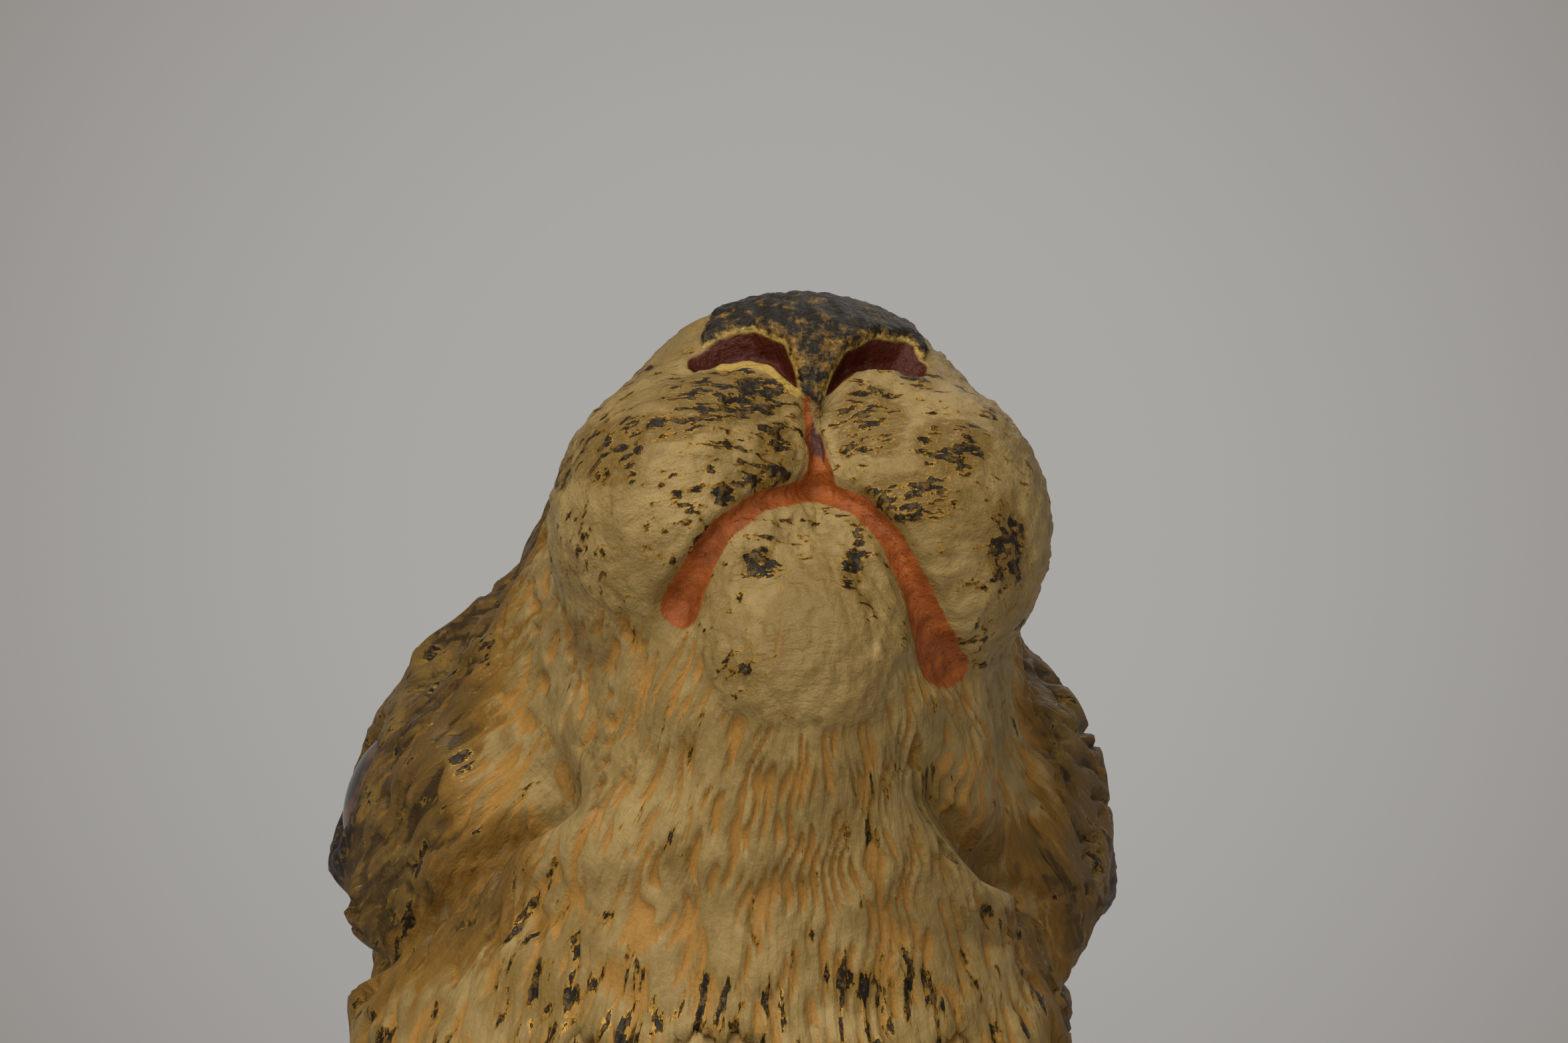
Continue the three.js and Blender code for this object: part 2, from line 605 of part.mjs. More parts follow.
function tailTuft() {
  const { x, y, z } = tailRoot;
  const core = TAIL.core.map((rise) => [x, y, z + rise]);
  const tuft = solid(sculpt(mass(TAIL), core, LIMB_GRID)).subtract(bodyCutter);
  return tuft.add(solid(aimed(bar(TAIL_STUD.radius, 0, studLength), tailRoot, tailForward)));
}

function tailNut() {
  const corner = TAIL_NUT.acrossFlats / 2 / Math.cos(Math.PI / 6);
  const hexagon = solid(bar(corner, SEAT_GAP, SEAT_GAP + TAIL_NUT.thickness, 6));
  const bore = solid(bar(TAIL_STUD.radius + BORE_CLEARANCE, -NEAR, NEAR));
  return solid(aimed(geometryOf(hexagon.subtract(bore)), nutSeat, tailForward));
}

function bodyCasting(screws) {
  let casting = roughBody(0).subtract(solid(slab(-PAST, 0)));
  casting = casting.subtract(solid(slab(-SEAT_GAP, PAST).applyMatrix4(jointFrame)));
  casting = casting.subtract(solid(sculpt(hollow, INNER_SPINE, HOLLOW_GRID)));
  const opening = oval(BASE_OPENING.halfWidth, BASE_OPENING.halfLength, -NEAR, BASE_OPENING.height);
  casting = casting.subtract(solid(opening.translate(0, RUMP.at[1], 0)));
  const halfWidth = TENON.halfWidth + BORE_CLEARANCE;
  const halfLength = TENON.halfLength + BORE_CLEARANCE;
  const socket = oval(halfWidth, halfLength, -COLLAR_DEPTH - BREAKTHROUGH, BREAKTHROUGH);
  casting = casting.subtract(solid(socket.applyMatrix4(jointFrame)));
  for (const pin of neckPins) casting = casting.subtract(solid(pinBore(pin).applyMatrix4(jointFrame)));
  for (const { bore, spot } of screws.forelegs) casting = casting.subtract(bore).subtract(spot);
  for (const { bore } of screws.feet) casting = casting.subtract(bore);
  const studBore = bar(TAIL_STUD.radius + BORE_CLEARANCE, 0, studLength);
  casting = casting.subtract(solid(aimed(studBore, tailRoot, tailForward)));
  const nutFace = bar(TAIL_NUT.faceRadius, 0, NEAR);
  return casting.subtract(solid(aimed(nutFace, nutSeat, tailForward)));
}

const figure = new THREE.Group();
const head = new THREE.Group();
head.applyMatrix4(headFrame);
figure.add(head);
head.add(piece("head_casting", headCasting(), putty));

const joint = new THREE.Group();
joint.applyMatrix4(jointFrame);
figure.add(joint);
neckPins.forEach(({ direction, start, end }, place) => {
  const pin = aimed(bar(NECK_PIN.radius, start, end), pinLevel, direction);
  joint.add(piece(`neck_pin_${place + 1}`, solid(pin), bareBronze));
});

const screws = { forelegs: [], feet: [] };
for (const [name, side] of Object.entries(SIDES)) {
  const ear = earLeaf(side).subtract(headCutter).add(earPeg(side, 0));
  head.add(piece(`${name}_ear`, ear, brownFur));
  head.add(piece(`${name}_eye`, eyeBead(side), darkGlaze));
  const legScrew = forelegScrew(side);
  figure.add(piece(`${name}_foreleg`, foreleg(side, legScrew.bore), putty));
  figure.add(piece(`${name}_foreleg_screw`, legScrew.body, bareBronze));
  screws.forelegs.push(legScrew);
  const soleScrew = footScrew(side);
  figure.add(piece(`${name}_hind_foot`, hindFoot(side, soleScrew), putty));
  figure.add(piece(`${name}_hind_foot_screw`, soleScrew.body, bareBronze));
  screws.feet.push(soleScrew);
}
figure.add(piece("body_casting", bodyCasting(screws), brownFur));
figure.add(piece("tail", tailTuft(), putty));
figure.add(piece("tail_nut", tailNut(), bareBronze));

// The footprint's middle becomes the origin
const footprint = new THREE.Box3().setFromObject(figure, true);
figure.position.y = -(footprint.min.y + footprint.max.y) / 2;
figure.updateMatrixWorld(true);

export default figure;
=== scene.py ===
"""Looks of a seated rabbit figurine in cold-painted bronze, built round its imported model.

Shapes are worked out in millimetres in the figure's own frame, where it faces -Y and stands on z = 0,
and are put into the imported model's frame, in metres, when a piece is made.
"""
import itertools

import bmesh
import bpy
import numpy as np
from mathutils import Matrix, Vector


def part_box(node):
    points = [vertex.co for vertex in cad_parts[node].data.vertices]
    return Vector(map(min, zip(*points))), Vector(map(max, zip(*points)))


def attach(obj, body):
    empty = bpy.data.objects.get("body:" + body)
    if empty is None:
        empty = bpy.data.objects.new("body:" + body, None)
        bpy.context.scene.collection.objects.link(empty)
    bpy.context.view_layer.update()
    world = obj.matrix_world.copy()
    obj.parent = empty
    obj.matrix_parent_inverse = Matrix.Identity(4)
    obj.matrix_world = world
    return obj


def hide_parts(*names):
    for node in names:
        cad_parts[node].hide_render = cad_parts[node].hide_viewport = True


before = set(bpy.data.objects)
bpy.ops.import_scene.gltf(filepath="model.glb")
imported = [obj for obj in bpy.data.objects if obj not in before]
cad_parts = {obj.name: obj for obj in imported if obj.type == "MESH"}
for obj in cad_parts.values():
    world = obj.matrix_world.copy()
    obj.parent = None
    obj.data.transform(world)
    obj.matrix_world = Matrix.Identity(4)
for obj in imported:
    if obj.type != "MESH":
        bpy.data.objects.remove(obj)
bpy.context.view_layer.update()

# Sizes shared with the model: heights are shares of the eye height, widths of the body width
EYE_HEIGHT = 122.0
BODY_WIDTH = 81.0
EYE_FORWARD = 30.0
EYES_AT = np.array([0.0, -EYE_FORWARD, EYE_HEIGHT])
HEAD_PITCH = np.radians(30.0)
HEAD_TURN = np.array([
    [1.0, 0.0, 0.0],
    [0.0, np.cos(HEAD_PITCH), np.sin(HEAD_PITCH)],
    [0.0, -np.sin(HEAD_PITCH), np.cos(HEAD_PITCH)],
])
JOINT_AT = np.array([0.0, -23.0, 0.861 * EYE_HEIGHT])
JOINT_LEAN = np.radians(3.0)
JOINT_UP = np.array([0.0, np.sin(JOINT_LEAN), np.cos(JOINT_LEAN)])
SEAT_GAP = 0.3
FOOT_SCREW_BACK = 20.0
METRES = 0.001
SIDES = (("left", 1), ("right", -1))

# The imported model's origin is the middle of the footprint, so the figure's frame is found from a foot screw
screw_low, screw_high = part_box("left_hind_foot_screw")
FRAME_SHIFT = np.array([0.0, (screw_low.y + screw_high.y) / 2 / METRES - FOOT_SCREW_BACK, 0.0])

# The photograph's view, in the figure's frame
AZIMUTH = np.radians(-8.0)
ELEVATION = np.radians(-20.0)
CAMERA_DISTANCE = 330.0
FIELD_WIDTH = 81.0
IMAGE_SIZE = np.array([2358, 1568])
EYES_IN_IMAGE = np.array([1103, 1190])
SENSOR = 36.0
VIEW_FORWARD = np.array([
    -np.sin(AZIMUTH) * np.cos(ELEVATION), np.cos(AZIMUTH) * np.cos(ELEVATION), -np.sin(ELEVATION),
])
VIEW_RIGHT = np.array([np.cos(AZIMUTH), np.sin(AZIMUTH), 0.0])
VIEW_UP = np.cross(VIEW_RIGHT, VIEW_FORWARD)
EYES_OFF_CENTRE = (IMAGE_SIZE / 2 - EYES_IN_IMAGE) * np.array([1, -1]) * FIELD_WIDTH / IMAGE_SIZE[0]
VIEW_AIM = EYES_AT + VIEW_RIGHT * EYES_OFF_CENTRE[0] + VIEW_UP * EYES_OFF_CENTRE[1]
VIEW_FROM = VIEW_AIM - VIEW_FORWARD * CAMERA_DISTANCE


def stencil(points):
    """Where points are seen on a card facing the camera: sideways and up from between the eyes, in mm."""
    offset = points - VIEW_FROM
    scale = CAMERA_DISTANCE / (offset @ VIEW_FORWARD)
    return np.stack([scale * (offset @ VIEW_RIGHT), scale * (offset @ VIEW_UP)], -1) + EYES_OFF_CENTRE


def high(share):
    """A height, as a share of the eye height."""
    return share * EYE_HEIGHT


def wide(share):
    """A width, as a share of the body width."""
    return share * BODY_WIDTH


def smooth(low, high_end, value):
    """Rises from 0 at the low end to 1 at the high end: three squares of the share less two cubes."""
    share = np.clip((value - low) / (high_end - low), 0, 1)
    return share * share * (3 - 2 * share)


def length(vectors):
    """Length of each vector along the last axis."""
    return np.sqrt((vectors * vectors).sum(-1))


def unit(vectors):
    """Vectors scaled to length one."""
    return vectors / np.maximum(length(vectors), 1e-9)[..., None]


def to_figure(points):
    """Head frame to figure frame: turned by the head's pitch about X, then moved to between the eyes."""
    return points @ HEAD_TURN.T + EYES_AT


def to_head(points):
    """Figure frame to head frame, the other way round."""
    return (points - EYES_AT) @ HEAD_TURN


# Fields: signed distances in millimetres, below zero inside
NO_SLOPE = 1e-6


def mass(at, radii, lean=0.0):
    """Distance to an ellipsoid: reach times (reach - 1) over the slope of the reach, leaning about X."""
    at = np.array(at, float)
    radii = np.array(radii, float)
    cos = np.cos(np.radians(lean))
    sin = np.sin(np.radians(lean))
    turn = np.array([[1, 0, 0], [0, cos, -sin], [0, sin, cos]])

    def field(points):
        scaled = ((points - at) @ turn) / radii
        reach = length(scaled)
        slope = length(scaled / radii)
        outside = reach * (reach - 1) / np.maximum(slope, NO_SLOPE)
        return np.where(slope > NO_SLOPE, outside, -radii.min())

    return field


def limb(start, start_radius, end, end_radius):
    """Distance to a round limb: from the nearest point of a line, less a radius that tapers along it."""
    start = np.array(start, float)
    run = np.array(end, float) - start

    def field(points):
        share = np.clip(((points - start) @ run) / (run @ run), 0, 1)
        middle = start + share[..., None] * run
        return length(points - middle) - (start_radius + (end_radius - start_radius) * share)

    return field


def fold(points):
    """Points brought over to the side where x is above zero."""
    return points * np.array([0, 1, 1]) + np.abs(points) * np.array([1, 0, 0])


def paired(field):
    """The same mass on both sides: the distance at the folded point."""
    return lambda points: field(fold(points))


def blended(blend, *fields):
    """Masses run together: the smaller distance, less a quarter of the blend times the overlap squared."""

    def field(points):
        joined = fields[0](points)
        for other in fields[1:]:
            distance = other(points)
            overlap = np.maximum(blend - np.abs(joined - distance), 0) / blend
            joined = np.minimum(joined, distance) - overlap * overlap * blend / 4
        return joined

    return field


def standing(field):
    """A field cut level at the ground."""
    return lambda points: np.maximum(field(points), -points[..., 2])


def over_joint(points):
    """Height over the neck joint's plane."""
    return (points - JOINT_AT) @ JOINT_UP


# Masses of the head, in the head's frame
NOSE_LOBE = ((3.7, -27.4, -2.7), (4.3, 4.3, 3.7))
PAD = ((5.4, -24, -7.4), (6.8, 8.2, 6.5))
CHIN = ((0, -20.4, -13.6), (6.3, 6.9, 5.9))
EYE_MOUND = ((13.3, 3.2, 0), (6, 6, 6))
NECK_BLEND = 7.0
skull = blended(
    5.0,
    mass((0, 6, 2.2), (16.3, 25, 14.6)),
    mass((0, -14, -3), (9.6, 19.5, 9.2)),
    mass((0, -8, -12.2), (11.3, 16.5, 8.4)),
    paired(mass((12.6, 3, -4), (6.6, 12, 9.5))),
    paired(mass((6.6, -10.5, -2.2), (5.2, 12.5, 6.8))),
)
eye_region = blended(
    2.6,
    paired(mass(*EYE_MOUND)),
    paired(mass((13, 4, 5), (5.2, 7.5, 4.8))),
    paired(mass((10.5, 15, 9), (6.5, 8, 7.5))),
)
muzzle = blended(2.0, mass(*CHIN), paired(mass(*PAD)), paired(mass(*NOSE_LOBE)))
face = blended(2.6, skull, eye_region, muzzle)

# Masses of the body, in the figure's frame
HAUNCH = ((wide(0.29), 24, high(0.287)), (wide(0.21), 29, high(0.242)))
KNEE = ((wide(0.321), 2, high(0.205)), (wide(0.136), 15, high(0.143)))
THIGH_SUNK = 1.0
RUMP_AT = (0, 30, high(0.262))
barrel = blended(
    11.0,
    mass(RUMP_AT, (wide(0.358), 32, high(0.344))),
    mass((0, 3, high(0.443)), (wide(0.321), 36, high(0.295))),
    mass((0, -17, high(0.623)), (wide(0.272), 26.5, high(0.27))),
    paired(mass((wide(0.173), -12, high(0.541)), (wide(0.136), 19, high(0.221)))),
)
trunk = blended(
    11.0,
    barrel,
    mass((0, -24, high(0.852)), (wide(0.16), 20.5, high(0.18))),
    mass((0, -33, high(0.779)), (wide(0.253), 15.5, high(0.123))),
)
torso = blended(7.0, trunk, paired(mass(*HAUNCH)))
skin = blended(NECK_BLEND, torso, lambda points: face(to_head(points)))

# Noise, the same on every run
LATTICE = 256


def ripple(points, seed):
    """Smooth noise in space, about -1 to 1: gradients at the lattice corners, dotted with the offsets and
    weighted by a fade of the fifth degree that is flat at both ends."""
    rng = np.random.default_rng(seed)
    gradients = unit(rng.normal(size=(LATTICE, 3)))
    shuffle = rng.permutation(LATTICE)
    cell = np.floor(points).astype(int)
    part = points - cell
    fade = part**3 * (part * (6 * part - 15) + 10)
    total = np.zeros(points.shape[:-1])
    for corner in itertools.product((0, 1), repeat=3):
        place = (cell + np.array(corner)) % LATTICE
        pick = 0
        for axis in range(3):
            pick = shuffle[(pick + place[..., axis]) % LATTICE]
        weight = np.prod(np.where(np.array(corner), fade, 1 - fade), -1)
        total += weight * ((part - np.array(corner)) * gradients[pick]).sum(-1)
    return 1.6 * total


# Ray grids: rings of rays that start on a core and slide out to a field's skin
STRIDE = 0.35
STRIDE_SHARE = 0.6
STRIDES = 400
HALVINGS = 14
CURVE_STEPS = 400
QUARTER = np.pi / 2


def crossing(field, starts, directions):
    """How far each ray goes to the skin: strides of part of the distance until it is outside, then halving
    between the last place inside and the first outside."""
    near = np.zeros(starts.shape[:-1])
    far = np.full(starts.shape[:-1], np.nan)
    going = np.ones(starts.shape[:-1], bool)
    depth = -field(starts)
    for _ in range(STRIDES):
        step = near[going] + np.maximum(STRIDE, STRIDE_SHARE * depth[going])
        found = field(starts[going] + step[..., None] * directions[going])
        inside = found < 0
        where = np.argwhere(going)
        kept = tuple(where[inside].T)
        left = tuple(where[~inside].T)
        near[kept] = step[inside]
        depth[kept] = -found[inside]
        far[left] = step[~inside]
        going[left] = False
        if not going.any():
            break
    for _ in range(HALVINGS):
        middle = (near + far) / 2
        inside = field(starts + middle[..., None] * directions) < 0
        near = np.where(inside, middle, near)
        far = np.where(inside, far, middle)
    return (near + far) / 2


def curve(points, shares):
    """A curve through points, at shares of its length: cubic pieces, with half the chord between a point's
    neighbours as its slope."""
    points = np.array(points, float)
    lead = 2 * points[:1] - points[1:2]
    tail = 2 * points[-1:] - points[-2:-1]
    padded = np.concatenate([lead, points, tail])
    fine = np.linspace(0, len(points) - 1, CURVE_STEPS)
    piece = np.minimum(fine.astype(int), len(points) - 2)
    t = (fine - piece)[:, None]
    before, start, end, after = (padded[piece + step] for step in range(4))
    slope_start = (end - before) / 2
    slope_end = (after - start) / 2
    line = (2 * t**3 - 3 * t**2 + 1) * start + (t**3 - 2 * t**2 + t) * slope_start
    line = line + (3 * t**2 - 2 * t**3) * end + (t**3 - t**2) * slope_end
    run = np.concatenate([[0], np.cumsum(length(np.diff(line, axis=0)))])
    return np.stack([np.interp(np.asarray(shares) * run[-1], run, line[:, axis]) for axis in range(3)], -1)


def heading(points, shares):
    """Direction of a curve: from a hundredth of its length before each share to a hundredth after it."""
    return unit(curve(points, np.minimum(shares + 0.01, 1)) - curve(points, np.maximum(shares - 0.01, 0)))


def angles_round(around, crowding):
    """Angles round a ring, crowded at the underside: even angles less the crowding times their cosine."""
    even = 2 * np.pi * np.arange(around) / around
    return even - crowding * np.cos(even)


def reached(field, middles, directions):
    """Points where rays from the middle of each ring come out of a field's skin."""
    starts = np.broadcast_to(middles[:, None], directions.shape)
    return starts + crossing(field, starts, directions)[..., None] * directions


def sculpt(field, core, angles, first_cap, along, last_cap):
    """Rings of points on a field's skin: a cap that fans out from a core curve's first end, rings along it
    and a cap at its last end. A ray is the tangent times the sine of its tilt, plus the cosine of its tilt
    times a ring, which is across times the cosine of the angle and rise times its sine."""
    shares = np.concatenate([np.zeros(first_cap), np.linspace(0, 1, along), np.ones(last_cap)])
    opening = np.linspace(-QUARTER, 0, first_cap, endpoint=False)
    closing = np.linspace(QUARTER, 0, last_cap, endpoint=False)[::-1]
    tilts = np.concatenate([opening, np.zeros(along), closing])[:, None, None]
    tangents = heading(core, shares)
    across = unit(np.array([1.0, 0.0, 0.0]) - tangents * tangents[:, :1])
    rise = np.cross(across, tangents)
    ring = np.cos(angles)[None, :, None] * across[:, None] + np.sin(angles)[None, :, None] * rise[:, None]
    directions = np.sin(tilts) * tangents[:, None] + np.cos(tilts) * ring
    return reached(field, curve(core, shares), unit(directions))


def normals_of(rings):
    """Outward normals of a grid of rings: the cross product of its slopes, turned away from its middle."""
    round_step = np.roll(rings, -1, 1) - np.roll(rings, 1, 1)
    along_step = np.gradient(rings, axis=0)
    normals = unit(np.cross(round_step, along_step))
    away = (normals * (rings - rings.mean(1, keepdims=True))).sum()
    return normals if away > 0 else -normals


def flow_of(rings, angles, radius):
    """Hair coordinates in millimetres: two from the angle, which close up round the rings, and the distance
    along each column from the first ring."""
    steps = length(np.diff(rings, axis=0))
    run = np.concatenate([np.zeros((1, rings.shape[1])), np.cumsum(steps, 0)])
    round_x = np.broadcast_to(radius * np.cos(angles), run.shape)
    round_y = np.broadcast_to(radius * np.sin(angles), run.shape)
    return np.stack([round_x, round_y, run], -1)


# Chased hair: grid columns to a line, and the weight and scale of each noise that disturbs the lines
HAIR_COLUMNS = 4.4
SWAY = 1.1
SWAY_SCALE = 0.13
SPLIT = 1.5
SPLIT_SCALE = np.array([0.45, 0.45, 0.28])
UNEVEN = 1.35
UNEVEN_SCALE = np.array([1.2, 1.2, 0.45])
MEAN_GROOVE = 0.6


def combed(flow, points, seed):
    """Chased hair, 0 in the grooves and 1 on the ridges: the cosine of lines counted round the rings, swayed
    by slow noise, split by quicker noise and cut unevenly."""
    around = points.shape[1]
    lines = round(around / HAIR_COLUMNS)
    turns = np.arange(around) / around
    wave = SWAY * ripple(points * SWAY_SCALE, seed) + SPLIT * ripple(flow * SPLIT_SCALE, seed + 1)
    ridge = 0.5 + 0.5 * np.cos(2 * np.pi * (lines * turns + wave))
    uneven = ripple(flow * UNEVEN_SCALE, seed + 2)
    return smooth(-0.12, 0.58, ridge + UNEVEN * uneven)


# Pieces


def grid_faces(rows, around):
    """Triangles of a grid of closed rings, with the first and last rings drawn in to one point each."""
    inner = rows - 2
    row = 1 + np.arange(inner - 1)[:, None] * around
    step = np.arange(around)[None, :]
    after = (step + 1) % around
    a, b, c, d = row + step, row + after, row + around + after, row + around + step
    sides = np.concatenate([np.stack([a, b, c], -1).reshape(-1, 3), np.stack([a, c, d], -1).reshape(-1, 3)])
    last = 1 + inner * around
    top = last - around
    step, after = step[0], after[0]
    start_fan = np.stack([np.zeros(around, int), 1 + after, 1 + step], -1)
    end_fan = np.stack([np.full(around, last), top + step, top + after], -1)
    return np.concatenate([sides, start_fan, end_fan])


def closed_up(values):
    """A grid's values as one list, each end ring drawn in to its mean."""
    inner = values[1:-1].reshape(-1, *values.shape[2:])
    return np.concatenate([values[:1].mean(1), inner, values[-1:].mean(1)])


def make_piece(name, rings, nodes, slot, material, **attributes):
    """A closed piece, faces outwards, from a grid of rings with attributes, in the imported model's frame."""
    points = closed_up(rings)
    faces = grid_faces(*rings.shape[:2])
    corners = points[faces]
    volume = np.einsum("ij,ij->", corners[:, 0], np.cross(corners[:, 1], corners[:, 2]))
    faces = faces if volume > 0 else faces[:, ::-1]
    mesh = bpy.data.meshes.new(name)
    mesh.from_pydata((points + FRAME_SHIFT) * METRES, [], faces)
    mesh.polygons.foreach_set("use_smooth", np.ones(len(faces), bool))
    for key, values in attributes.items():
        values = closed_up(values)
        kind, field = ("FLOAT_VECTOR", "vector") if values.ndim == 2 else ("FLOAT", "value")
        mesh.attributes.new(key, kind, "POINT").data.foreach_set(field, values.astype(np.float32).ravel())
    mesh.materials.append(material)
    piece = bpy.data.objects.new(name, mesh)
    bpy.context.scene.collection.objects.link(piece)
    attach(piece, "root")
    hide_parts(*nodes)
    return piece


# Materials


def linear(red, green, blue):
    """A colour as seen on screen, 0 to 255, in the linear values that shaders use."""
    seen = np.array([red, green, blue]) / 255
    return (*np.where(seen <= 0.04045, seen / 12.92, ((seen + 0.055) / 1.055) ** 2.4), 1.0)


PUTTY = linear(126, 105, 62)
PALE_PUTTY = linear(150, 128, 82)
APRICOT = linear(149, 111, 54)
KHAKI = linear(112, 90, 46)
OCHRE = linear(118, 86, 33)
OLIVE_BROWN = linear(90, 68, 30)
DARK_BROWN = linear(54, 40, 18)
BLACK_PATINA = linear(26, 20, 12)
GOLD = linear(142, 108, 44)
LIP_PINK = linear(148, 80, 35)
LIP_SHADE = linear(124, 64, 27)
LIP_SEAM = linear(76, 46, 42)
OXBLOOD = linear(66, 25, 13)
RIM_CREAM = linear(166, 138, 70)
BARE_BRONZE = linear(122, 92, 46)
IRIS_RAY = linear(46, 27, 15)
IRIS_BROWN = linear(92, 56, 26)
PUPIL_BLACK = linear(6, 5, 5)
IRIS_EDGE = linear(14, 9, 7)
FLOOR_PALE = linear(214, 212, 208)
FLOOR_CLOUD = linear(206, 204, 200)
BACKDROP = linear(169, 167, 164)
BACKDROP_SHADED_EDGE = linear(147, 144, 140)
ROOM_GLOW = linear(182, 170, 150)
EVEN = np.ones(3)


class Nodes:
    """The node tree of a finish or of the room, with short ways to add the nodes that they are made of."""

    def __init__(self, owner):
        owner.use_nodes = True
        self.owner = owner
        self.tree = owner.node_tree
        self.shader = self.tree.nodes.get("Principled BSDF")

    def fill(self, node, inputs):
        """Sets a node's inputs, or links those whose value is another node's socket."""
        for name, value in inputs.items():
            if isinstance(value, bpy.types.NodeSocket):
                self.tree.links.new(value, node.inputs[name])
            else:
                node.inputs[name].default_value = value
        return node

    def add(self, kind, inputs=None):
        """A new node of a kind, with its inputs filled."""
        return self.fill(self.tree.nodes.new("ShaderNode" + kind), inputs or {})

    def attribute(self, name, output="Fac"):
        node = self.add("Attribute")
        node.attribute_name = name
        return node.outputs[output]

    def object_coordinates(self):
        return self.add("TexCoord").outputs["Object"]

    def height(self, vector):
        return self.add("SeparateXYZ", {"Vector": vector}).outputs["Z"]

    def math(self, operation, first, second):
        node = self.add("Math", {0: first, 1: second})
        node.operation = operation
        return node.outputs[0]

    def plus(self, first, second):
        return self.math("ADD", first, second)

    def less(self, first, second):
        return self.math("SUBTRACT", first, second)

    def times(self, first, second):
        return self.math("MULTIPLY", first, second)

    def rise(self, value, low, high_end, interpolation="SMOOTHSTEP"):
        """0 below the low end, 1 above the high end, smooth or straight between them."""
        node = self.add("MapRange", {"Value": value, "From Min": low, "From Max": high_end})
        node.interpolation_type = interpolation
        return node.outputs["Result"]

    def grain(self, vector, scale, detail=3.0, roughness=0.55):
        """Noise on a vector that is first scaled axis by axis."""
        scaled = self.add("Mapping", {"Vector": vector, "Scale": scale}).outputs["Vector"]
        noise = {"Vector": scaled, "Scale": 1.0, "Detail": detail, "Roughness": roughness}
        return self.add("TexNoise", noise).outputs["Fac"]

    def number(self, share, under, over, kind="FLOAT"):
        """One number faded to another by a share."""
        node = self.add("Mix")
        node.data_type = kind
        return self.fill(node, {"Factor": share, "A": under, "B": over}).outputs["Result"]

    def colour(self, share, under, over):
        """One colour laid over another by a share."""
        return self.number(share, under, over, "RGBA")

    def bump(self, height, depth):
        """Relief of the given depth, in millimetres, for a height of 1."""
        node = self.add("Bump", {"Height": height, "Distance": depth * METRES})
        self.fill(self.shader, {"Normal": node.outputs["Normal"]})

    def finish(self, colour, roughness, metallic):
        self.fill(self.shader, {"Base Color": colour, "Roughness": roughness, "Metallic": metallic})
        return self.owner


WORN_THROUGH = 0.635
PATCH_WEAR = 0.14
LOW_NOSE_WEAR = 0.08
PAINT_RELIEF = 0.26
PAINT_GLOSS = 0.2


